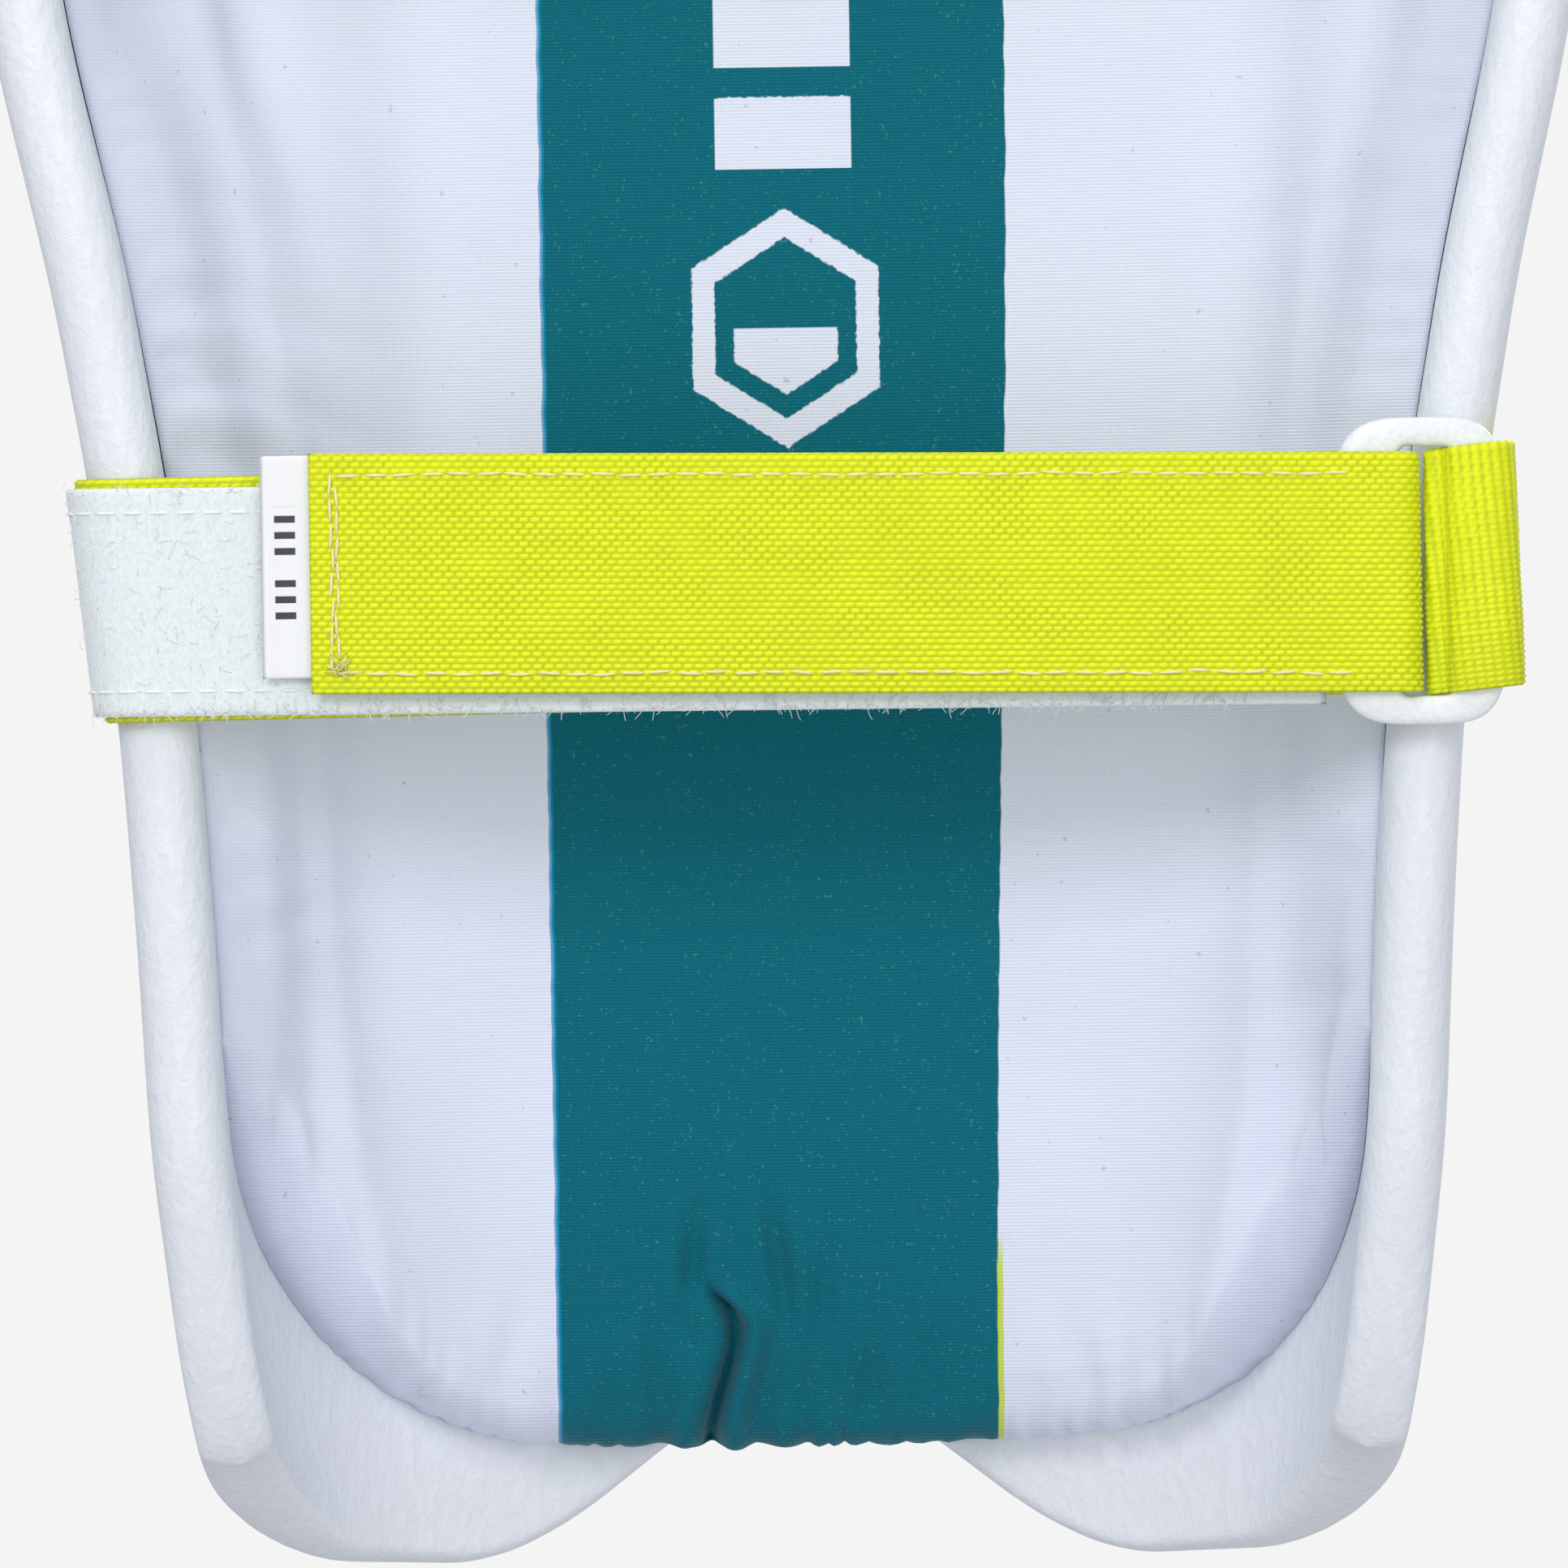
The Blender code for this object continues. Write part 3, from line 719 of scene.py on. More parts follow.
@dataclass(frozen=True)
class Shell:
    """The moulded foam shell: a wall of even depth with rounded rims, upright flutes and knee rolls."""

    columns: int = 178
    rows: int = 250
    rim_radius: float = 6.5
    hem_radius: float = 3.0
    top_radius: float = 5.0
    flutes: int = 4
    flute_height: float = 3.5
    flute_span: tuple[float, float] = (70.0, 350.0)
    knee_rolls: int = 3
    knee_roll_height: float = 6.0
    knee_roll_span: tuple[float, float] = (372.0, 474.0)

    def relief(self, u: np.ndarray, z: np.ndarray) -> np.ndarray:
        """Height of the flutes, a cosine round the front, and of the rolls, a cosine up it."""
        side = smooth_step((0.8 - np.abs(u)) / 0.15)
        low, high = self.flute_span
        flutes = smooth_step((z - low) / 40) * smooth_step((high - z) / 30)
        flute = np.sqrt(np.abs(np.cos(math.pi * self.flutes * u)) + 0.002)
        low, high = self.knee_roll_span
        rolls = smooth_step((z - low + 12) / 24) * smooth_step((high + 12 - z) / 24)
        roll = np.sqrt(np.abs(np.sin(math.pi * self.knee_rolls * (z - low) / (high - low))) + 0.002)
        return side * (self.flute_height * flute * flutes + self.knee_roll_height * roll * rolls)

    def build(self) -> bpy.types.Object:
        """Two faces about the wall's middle; their gap closes along a quarter ellipse at every edge."""
        s = crowded(self.columns, 380, self.rim_radius, 9)
        t = crowded(self.rows, 600, self.top_radius, 7)
        u, t = np.meshgrid(2 * s - 1, t)
        low, high = FORM.low(u), FORM.high(u)
        z = low + t * (high - low)
        normal = FORM.inward(u, z)
        half = FORM.wall / 2
        bead = self.hem_radius + (self.rim_radius - self.hem_radius) * smooth_step((z - 15) / 55)
        gap = half * rounded((1 - np.abs(u)) * FORM.half_length(z), bead)
        gap = gap * rounded(z - low, self.hem_radius) * rounded(high - z, self.top_radius)
        middle = FORM.outer(u, z) + normal * half
        dent = 0.35 * value_noise(middle, 34.0, 3) * rounded((1 - np.abs(u)) * FORM.half_length(z), 20)
        inner = middle + normal * (gap + dent * gap / half)[..., None]
        outer = middle - normal * (gap + gap / half * self.relief(u, z))[..., None]
        piece = closed_slab("foam_shell", inner, outer)
        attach(piece, "pad")
        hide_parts("moulded_shell")
        return FOAM_SKIN.dress(piece)


@dataclass(frozen=True)
class Cushion:
    """A cloth-covered foam slab, sewn and glued to the shell's inner face."""

    name: str
    bottom: float
    top: float
    crown: float
    reach: float
    rise: float = 6.0
    columns: int = 150
    rows: int = 120
    depth: float = 12.1
    side_radius: float = 30.0
    corner_fill: float = 5.0
    even_step: float = 0.17
    hem_radius: float = 7.0
    swell_cap: float = 3.2
    shrink: float = -0.05
    evening: int = 3
    cloth_pitch: float = 4.0
    sewn_edge: float = 3.0
    last_frame: int = 20
    fill: float = 0.6
    pucker_pitch: float = 6.0

    def low(self, u: np.ndarray) -> np.ndarray:
        """Height of the bottom edge, which rises as a power towards the sides."""
        return self.bottom + self.rise * np.maximum(0, (np.abs(u) - 0.3) / 0.6) ** np.where(u > 0, 2.7, 2.2)

    def high(self, u: np.ndarray) -> np.ndarray:
        """Height of the top edge."""
        return self.top - 6.0 * smooth_step((np.abs(u) - 0.4) / 0.5)

    def positions(self) -> tuple[np.ndarray, np.ndarray]:
        """Columns and rows of the finished grid."""
        return crowded(self.columns, 300, 10, 10), crowded(self.rows, self.top - self.bottom, 8, 8)

    def folds(self, x: np.ndarray, z: np.ndarray, side: np.ndarray, hem: np.ndarray) -> np.ndarray:
        """Height of folds and puckers over the plain crown, from the distances to side and hem edges."""
        place = np.stack([x, 0 * x, z], axis=-1)
        height = 0.5 * value_noise(place, 24.0, 5) * smooth_step(np.minimum(side, hem) / 20)
        phase = x / self.pucker_pitch + 0.9 * value_noise(place * np.array([1, 0, 0]), 9.0, 8)
        height -= 1.3 * np.cos(math.tau * phase) * np.exp(-hem / 5.5) * smooth_step((side - 4) / 8)
        phase = z / 11.0 + 0.9 * value_noise(place * np.array([0, 0, 1]), 13.0, 9)
        return height - 0.7 * np.cos(math.tau * phase) * np.exp(-side / 7.0) * smooth_step((hem - 8) / 20)

    def faces(self, s: np.ndarray, t: np.ndarray) -> tuple[np.ndarray, np.ndarray, np.ndarray, np.ndarray]:
        """The glued face, the crown's direction and height, and the distances from side and hem edges."""
        u, t = np.meshgrid(self.reach * (2 * s - 1), t)
        low, high = self.low(u), self.high(u)
        z = low + t * (high - low)
        seat = FORM.outer(u, z) + FORM.inward(u, z) * self.depth
        normal = FORM.inward(u, z, self.even_step)
        side = (self.reach - np.abs(u)) * FORM.half_length(z)
        hem = np.minimum(z - low, high - z)
        crown = self.crown + self.corner_fill * bell((np.abs(u) - 0.64) / 0.16)
        crown = crown * rounded(side, self.side_radius) * rounded(hem, self.hem_radius)
        return seat, normal, crown, np.stack([side, hem])

    def swell(self) -> np.ndarray:
        """How far cloth of this panel's size moves under pressure with its edges sewn down.

        Returns:
            Movement in millimetres along the crown's direction on an even grid, evened out by weighing
            each point 1:2:1 with its neighbours, and capped as a hyperbolic tangent.
        """
        rows = int((self.top - self.bottom) / self.cloth_pitch) + 1
        columns = int(2 * self.reach * FORM.half_length(200.0) / self.cloth_pitch) + 1
        seat, normal, crown, rims = self.faces(np.linspace(0, 1, columns), np.linspace(0, 1, rows))
        start = seat + normal * crown[..., None]
        panel = link_mesh(self.name + "_panel", start.reshape(-1, 3), grid_faces(rows, columns).tolist())
        sewn = panel.vertex_groups.new(name="sewn")
        sewn.add(np.flatnonzero(rims.min(axis=0).ravel() < self.sewn_edge).tolist(), 1.0, "REPLACE")
        cloth = panel.modifiers.new("cloth", "CLOTH")
        cloth.settings.effector_weights.gravity = 0
        cloth.settings.use_pressure = True
        cloth.settings.uniform_pressure_force = 4
        cloth.settings.vertex_group_mass = "sewn"
        cloth.settings.shrink_min = self.shrink
        cloth.settings.quality = 6
        cloth.settings.tension_stiffness = cloth.settings.compression_stiffness = 20
        cloth.settings.bending_stiffness = 0.2
        cloth.point_cache.frame_start, cloth.point_cache.frame_end = 1, self.last_frame
        scene = bpy.context.scene
        for number in range(1, self.last_frame + 1):
            scene.frame_set(number)
        shape = panel.evaluated_get(bpy.context.evaluated_depsgraph_get()).to_mesh()
        moved = np.empty(rows * columns * 3, dtype=np.float32)
        shape.vertices.foreach_get("co", moved)
        mesh = panel.data
        bpy.data.objects.remove(panel)
        bpy.data.meshes.remove(mesh)
        scene.frame_set(1)
        lift = np.sum((moved.reshape(rows, columns, 3) / MM - start) * normal, axis=-1)
        LOG.info("%s swells %.1f mm at most before the cap", self.name, lift.max())
        for _ in range(self.evening):
            wide = np.pad(lift, 1, mode="edge")
            wide = wide[:-2] + 2 * wide[1:-1] + wide[2:]
            lift = (wide[:, :-2] + 2 * wide[:, 1:-1] + wide[:, 2:]) / 16
        return normal * (self.swell_cap * np.tanh(lift / self.swell_cap))[..., None]

    def build(self, finish: Finish) -> bpy.types.Object:
        """The crowned front with its swell and folds, closed by the glued face."""
        s, t = self.positions()
        seat, normal, crown, rims = self.faces(s, t)
        rim = rims.min(axis=0)
        move = resample(self.swell(), t, s) * smooth_step(rim / 8)[..., None]
        plain = seat + normal * crown[..., None]
        folds = self.folds(plain[..., 0], plain[..., 2], *rims)
        crown = np.maximum(crown + folds * smooth_step(rim / 1.5), 0)
        piece = closed_slab(self.name, seat + normal * crown[..., None] + move, seat)
        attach(piece, "pad")
        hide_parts(self.name + "_cover", self.name + "_foam")
        return finish.dress(piece)


def groove(across: np.ndarray, width: float) -> np.ndarray:
    """A rounded valley of depth 1 with a low bank on each side."""
    turn = across / width
    return bell(turn) - 0.35 * bell((np.abs(turn) - 2.0) / 0.9)


@dataclass(frozen=True)
class ShinLiner(Cushion):
    """The long liner: gathered hem, one deep pleat, soft side valleys and slanting wrinkles."""

    gathers: tuple[tuple[float, ...], ...] = (
        (-17.0, 0.10, 46, 1.7, 1.7, 8), (-3.4, -0.12, 47, 1.6, 1.6, 10), (3.6, 0.06, 40, 1.0, 1.8, 9),
        (10.4, 0.08, 26, 1.3, 2.0, 8), (-23.0, 0.05, 30, 0.9, 2.4, 9), (-30.0, -0.05, 25, 0.7, 2.0, 6),
        (21.0, 0.0, 27, 0.8, 2.6, 9), (-46.0, 0.15, 34, 0.7, 2.6, 8), (44.0, -0.15, 30, 0.8, 2.6, 8),
    )
    wrinkles: tuple[tuple[float, ...], ...] = (
        (-0.42, 184.0, 1.7, 20, -86), (-0.34, 197.0, 1.4, 18, -86), (-0.5, 172.0, 1.3, 16, -86),
        (-0.3, 212.0, 0.9, 15, -88), (0.3, 100.0, 0.9, 12, -84), (-0.3, 76.0, 0.8, 12, -84),
        (0.35, 88.0, 0.9, 12, 84), (0.3, 210.0, 0.8, 13, 88), (-0.25, 125.0, 0.8, 12, 84),
        (0.4, 62.0, 0.8, 10, 80),
    )
    pleat_heights: tuple[float, ...] = (17, 20, 24, 29, 34, 37, 39.5, 41.5, 45)
    pleat_places: tuple[float, ...] = (-14.5, -14.2, -13.3, -11.9, -10.5, -10.3, -11.5, -13.6, -15.5)

    def positions(self) -> tuple[np.ndarray, np.ndarray]:
        """Columns crowd at the pleat and the sides; rows crowd at the hem."""
        ends = crowded(self.columns, 340, 9, 9)
        middle = sharpened(self.columns + 1, 0.47, 0.06, 1.6)
        columns = np.interp(middle, np.linspace(0, 1, self.columns + 1), ends)
        return columns, sharpened(self.rows + 1, 0.02, 0.09, 1.8)

    def low(self, u: np.ndarray) -> np.ndarray:
        """The hem, scalloped between its stitches."""
        place = np.stack([u, 0 * u, 0 * u], axis=-1)
        scallop = np.abs(np.cos(math.pi * (u * 24 + 1.3 * value_noise(place, 0.07, 4))))
        scallop = scallop * (0.75 + 0.5 * value_noise(place, 0.11, 12)) - 0.5
        return super().low(u) - 0.8 * scallop * smooth_step((0.86 - np.abs(u)) / 0.05)

    def folds(self, x: np.ndarray, z: np.ndarray, side: np.ndarray, hem: np.ndarray) -> np.ndarray:
        """Each fold is a groove across x whose middle leans with z, faded in and out along its length."""
        place = np.stack([x, 0 * x, z], axis=-1)
        height = super().folds(x, z, side, hem)
        height += 0.2 * value_noise(place, 10.0, 6) * smooth_step((80 - z) / 30)
        pleat = np.interp(z, self.pleat_heights, self.pleat_places)
        fade = smooth_step((45 - z) / 6) * smooth_step((z - 15) / 3)
        height -= (4.6 * bell((x - pleat) / 1.15) - 2.6 * bell((x - pleat - 3.0) / 2.0)) * fade
        height += 1.5 * bell((x - pleat + 4.2) / 2.8) * fade
        for middle, lean, foot, size, width, reach in self.gathers:
            height -= size * groove(x - middle - lean * (z - foot), width) * bell((z - foot) / reach)
        upper = smooth_step((z - 150) / 25) * smooth_step((330 - z) / 60)
        height -= 2.2 * bell((x + 57 + 0.03 * (z - 200)) / 9) * upper
        height -= 1.6 * bell((x + 70) / 8) * smooth_step((142 - z) / 20) * smooth_step((z - 34) / 30)
        height -= 1.5 * bell((x - 73) / 8) * smooth_step((330 - z) / 60) * smooth_step((z - 40) / 40)
        for slope, offset, size, reach, side_x in self.wrinkles:
            away = x - side_x
            height -= 0.65 * size * groove(z - offset - slope * away, 2.6) * bell(away / reach)
        return height


@dataclass(frozen=True)
class KneeBolster(Cushion):
    """The knee cushion, quilted in level rolls."""

    rolls: int = 3

    def folds(self, x: np.ndarray, z: np.ndarray, side: np.ndarray, hem: np.ndarray) -> np.ndarray:
        """Sewn channels between the rolls, each puckered along its stitches."""
        height = super().folds(x, z, side, hem)
        pitch = (self.top - self.bottom) / self.rolls
        for number in range(1, self.rolls):
            line = z - self.bottom - number * pitch + 5.0 * smooth_step((np.abs(x) - 50) / 60)
            pucker = 1 + 0.25 * np.cos(math.tau * x / self.pucker_pitch)
            height -= 6.5 * pucker * bell(line / 4.2) * smooth_step(side / 9)
        return height


@dataclass(frozen=True)
class TopLiner(Cushion):
    """The liner at the top of the pad, which follows the shell's round corners."""

    def high(self, u: np.ndarray) -> np.ndarray:
        """The shell's top edge, 18 mm down."""
        return self.top - FORM.height + FORM.high(u)


# ------------------------------------------------------------------------------------------------ straps


def plan_arc(centre: tuple[float, float], radius: float, start: float, end: float, count: int) -> list:
    """Points of an arc in plan, angles in degrees from +X."""
    angles = np.radians(np.linspace(start, end, count))
    return [(centre[0] + radius * math.cos(a), centre[1] + radius * math.sin(a)) for a in angles]


@dataclass(frozen=True)
class Band:
    """An upright band carried along a plan path, with rounded edges and, where asked, woven relief."""

    name: str
    path_at: Callable[[float], Sequence[tuple[float, float]]]
    middle: float
    width: float
    thickness: float
    side: Side = Side.OUTWARD
    weave: Optional[Weave] = None
    relief: float = 0.42
    float_pitch: float = 1.8
    row_pitch: float = 0.95
    cell: float = 2.5
    wobble: float = 0.0
    stagger: float = 0.5
    tilt: float = 0.0
    tilt_from: float = 0.0

    def plan(self, columns: int, z: float) -> np.ndarray:
        """The path at a height, at even steps of its length."""
        points = np.array(self.path_at(z))
        length = np.concatenate([[0], np.cumsum(np.hypot(*np.diff(points, axis=0).T))])
        even = np.linspace(0, length[-1], columns)
        return np.stack([np.interp(even, length, line) for line in points.T], axis=-1)

    def length(self) -> float:
        """Length of the path at the band's middle."""
        points = np.array(self.path_at(self.middle))
        return float(np.hypot(*np.diff(points, axis=0).T).sum())

    def mesh(self) -> tuple[np.ndarray, np.ndarray, np.ndarray]:
        """Both faces and the yarns' height, 0 to 1, on one grid.

        Returns:
            Outer face, inner face, height.
        """
        length = self.length()
        if self.weave:
            along, across = self.weave.value
            columns = int(round(length / self.float_pitch * along)) + 1
            rows = int(round(self.width / self.row_pitch * across)) + 1
        else:
            columns, rows = int(length / self.cell) + 2, int(self.width / self.cell) + 2
        rims = self.thickness * 0.7
        t = np.linspace(0, 1, rows) if self.weave else crowded(rows + 5, self.width, rims, 3)
        heights = (t - 0.5) * self.width
        coarse = np.linspace(-0.5, 0.5, 9) * self.width
        plans = np.array([self.plan(columns, self.middle + h) for h in coarse])
        spot = (t * 8).clip(0, 7.999)
        row = spot.astype(int)
        part = (spot - row)[:, None, None]
        flat = plans[row] * (1 - part) + plans[row + 1] * part
        levels = np.broadcast_to(self.middle + heights[:, None, None], flat.shape[:2] + (1,))
        place = np.concatenate([flat, levels], -1)
        heading = np.gradient(flat, axis=1)
        heading /= np.linalg.norm(heading, axis=-1, keepdims=True)
        normal = np.stack([heading[..., 1], -heading[..., 0], 0 * heading[..., 0]], axis=-1)
        distance = np.linspace(0, length, columns)[None, :]
        edge = (self.width / 2 - np.abs(heights))[:, None]
        end = np.minimum(distance, length - distance)
        gap = rounded(edge, rims) * rounded(end, rims)
        yarn = np.zeros(flat.shape[:2])
        if self.weave:
            rank = (heights[:, None] + self.width / 2) / self.row_pitch
            shift = self.stagger * (np.floor(rank + 1e-6) % 2)
            slack = 0.16 * value_noise(place, 5.0, 21)
            warp = np.abs(np.sin(math.pi * (distance / self.float_pitch + shift + slack)))
            yarn = (warp + 1e-6) ** 0.7 * (np.abs(np.sin(math.pi * rank)) + 1e-6) ** 0.6
            yarn *= 0.9 + 0.16 * value_noise(place, 1.3, 22) + 0.08 * value_noise(place, 7.0, 23)
        wave = self.wobble * value_noise(place * np.array([1, 0, 0.6]), 26.0, 11)
        centre = place + normal * (self.thickness / 2 * self.side.value + wave)[..., None]
        half = self.thickness / 2 * gap
        lift = half + self.relief * (yarn - 0.75) * gap if self.weave else half
        outer, inner = centre + normal * lift[..., None], centre - normal * lift[..., None]
        for face in (outer, inner):
            face[..., 2] += self.tilt * (face[..., 0] - self.tilt_from)
        return outer, inner, yarn

    def build(self) -> bpy.types.Object:
        """The closed band, with its yarn height stored for the finish."""
        outer, inner, yarn = self.mesh()
        piece = closed_slab(self.name, outer, inner)
        if self.weave:
            store(piece, "relief", np.concatenate([yarn.ravel(), yarn[1:-1, 1:-1].ravel()]))
        LOG.info("%s: %.0f mm long, %d faces", self.name, self.length(), len(piece.data.polygons))
        return piece


@dataclass(frozen=True)
class Stitching:
    """Sewn stitches: each a thread hump, thick in its middle and sunk at both ends."""

    name: str
    thread: float = 0.42
    length: float = 3.1

    def build(self, places: np.ndarray, along: np.ndarray, out: np.ndarray) -> bpy.types.Object:
        """One mesh of all the stitches.

        Args:
            places: (n, 3) middles, on the cloth.
            along: (n, 3) unit directions of the stitches.
            out: (n, 3) unit normals of the cloth.

        Returns:
            The stitches; each is a six-sided tube along half a sine wave.
        """
        v = np.linspace(-1, 1, 7)
        ring = np.linspace(0, math.tau, 6, endpoint=False)
        across = np.cross(out, along)
        radius = self.thread * np.sqrt(np.maximum(0.03, 1 - v**2 * 0.9))
        lengthwise = v * self.length / 2
        rise = self.thread * (0.55 - 1.1 * v**4)
        tubes = (
            places[:, None, None, :]
            + along[:, None, None, :] * lengthwise[None, :, None, None]
            + out[:, None, None, :] * (rise[:, None] + radius[:, None] * 0.8 * np.sin(ring))[None, :, :, None]
            + across[:, None, None, :] * (radius[:, None] * np.cos(ring))[None, :, :, None]
        )
        index = np.arange(tubes.shape[0] * 42).reshape(-1, 7, 6)
        wrapped = np.concatenate([index, index[:, :, :1]], axis=2)
        near, far = wrapped[:, :-1], wrapped[:, 1:]
        sides = np.stack([near[..., :-1], far[..., :-1], far[..., 1:], near[..., 1:]], axis=-1)
        piece = link_mesh(self.name, tubes.reshape(-1, 3), sides.reshape(-1, 4).tolist())
        shape = bmesh.new()
        shape.from_mesh(piece.data)
        bmesh.ops.holes_fill(shape, edges=[e for e in shape.edges if e.is_boundary], sides=6)
        bmesh.ops.recalc_face_normals(shape, faces=shape.faces)
        shape.to_mesh(piece.data)
        shape.free()
        return piece


@dataclass(frozen=True)
class Ring:
    """A flat plastic loop: strap bar at its left, off-centre opening, anchor bar at its right."""

    width: float = 28.0
    height: float = 47.8
    thickness: float = 3.0
    opening: tuple[float, float] = (9.4, 38.9)
    strap_bar: float = 10.4

    def build(self, name: str, left: float, y: float, z: float) -> bpy.types.Object:
        """Turn round the opening, and at each turn go round the bar's cross-section as a superellipse."""
        turns, section = 144, 20
        turn = np.linspace(0, math.tau, turns, endpoint=False)
        turn = turn + 0.18 * np.sin(2 * turn)
        around = np.linspace(0, math.tau, section, endpoint=False)
        opening_x = left + self.strap_bar + self.opening[0] / 2
        c, s = np.cos(turn), np.sin(turn)
        reach = np.where(c >= 0, left + self.width - opening_x, opening_x - left)
        outer = ((np.abs(c) / reach) ** 4 + (np.abs(s) / (self.height / 2)) ** 4) ** -0.25
        inner = ((np.abs(c) * 2 / self.opening[0]) ** 8 + (np.abs(s) * 2 / self.opening[1]) ** 8) ** -0.125
        a, b = np.cos(around), np.sin(around)
        across = 0.5 + 0.5 * np.sign(a) * np.abs(a) ** 0.55
        deep = self.thickness / 2 * np.sign(b) * np.abs(b) ** 0.75
        radius = inner[:, None] + (outer - inner)[:, None] * across
        x, depth = opening_x + radius * c[:, None], y + deep[None, :] + 0 * radius
        places = np.stack([x, depth, z + radius * s[:, None]], axis=-1)
        index = np.arange(turns * section).reshape(turns, section)
        index = np.concatenate([index, index[:1]])
        index = np.concatenate([index, index[:, :1]], axis=1)
        faces = grid_faces(turns + 1, section + 1, index)
        return link_mesh(name, places.reshape(-1, 3), faces.tolist())


@dataclass(frozen=True)
class Fibres:
    """Short curved fibres standing on cloth: three-sided threads along an arch."""

    name: str
    thread: float = 0.07
    seed: int = 1

    def build(self, places: np.ndarray, out: np.ndarray, length: tuple[float, float]) -> bpy.types.Object:
        """One mesh of all the fibres.

        Args:
            places: (n, 3) feet.
            out: (n, 3) unit normals at the feet.
            length: shortest and longest reach along the cloth.

        Returns:
            The fibres; each leans in a random direction in the cloth and arches up by half its reach.
        """
        draw = np.random.default_rng(self.seed)
        count = len(places)
        spin = draw.uniform(0, math.tau, count)
        up = np.array([0.0, 0.0, 1.0])
        beside = np.cross(up, out)
        lean = beside * np.cos(spin)[:, None] + up * np.sin(spin)[:, None]
        reach = draw.uniform(*length, count)[:, None, None]
        v = np.linspace(0, 1, 6)[None, :, None]
        curl = draw.uniform(-0.5, 0.5, count)[:, None, None]
        side = np.cross(out, lean)[:, None, :]
        path = places[:, None, :] + lean[:, None, :] * reach * v + side * curl * reach * v * v
        path = path + out[:, None, :] * reach * 0.35 * np.sin(math.pi * v * 0.9)
        ring = np.linspace(0, math.tau, 3, endpoint=False)
        offset = out[:, None, None, :] * np.sin(ring)[:, None] + side[:, :, None, :] * np.cos(ring)[:, None]
        tubes = path[:, :, None, :] + offset * self.thread
        index = np.arange(count * 18).reshape(count, 6, 3)
        wrapped = np.concatenate([index, index[:, :, :1]], axis=2)
        near, far = wrapped[:, :-1], wrapped[:, 1:]
        sides = np.stack([near[..., :-1], near[..., 1:], far[..., 1:], far[..., :-1]], axis=-1)
        faces = sides.reshape(-1, 4).tolist() + index[:, 0].tolist() + index[:, -1, ::-1].tolist()
        return link_mesh(self.name, tubes.reshape(-1, 3), faces)


def along_line(
    start: Sequence[float], end: Sequence[float], pitch: float, seed: int
) -> tuple[np.ndarray, np.ndarray]:
    """Places of stitches down a line, with small seeded shifts.

    Args:
        start: first end of the line.
        end: last end of the line.
        pitch: distance between stitches.
        seed: picks the shifts.

    Returns:
        Middles and unit directions.
    """
    start, end = np.array(start, float), np.array(end, float)
    length = float(np.linalg.norm(end - start))
    direction = (end - start) / length
    distance = np.arange(pitch / 2, length - pitch / 3, pitch)
    draw = np.random.default_rng(seed)
    places = start + direction * distance[:, None]
    places = places + draw.normal(0, 0.12, places.shape) * np.array([1, 0, 1])
    lean = np.tile(direction, (len(places), 1)) + draw.normal(0, 0.05, places.shape) * np.array([1, 0, 1])
    return places, lean / np.linalg.norm(lean, axis=1, keepdims=True)


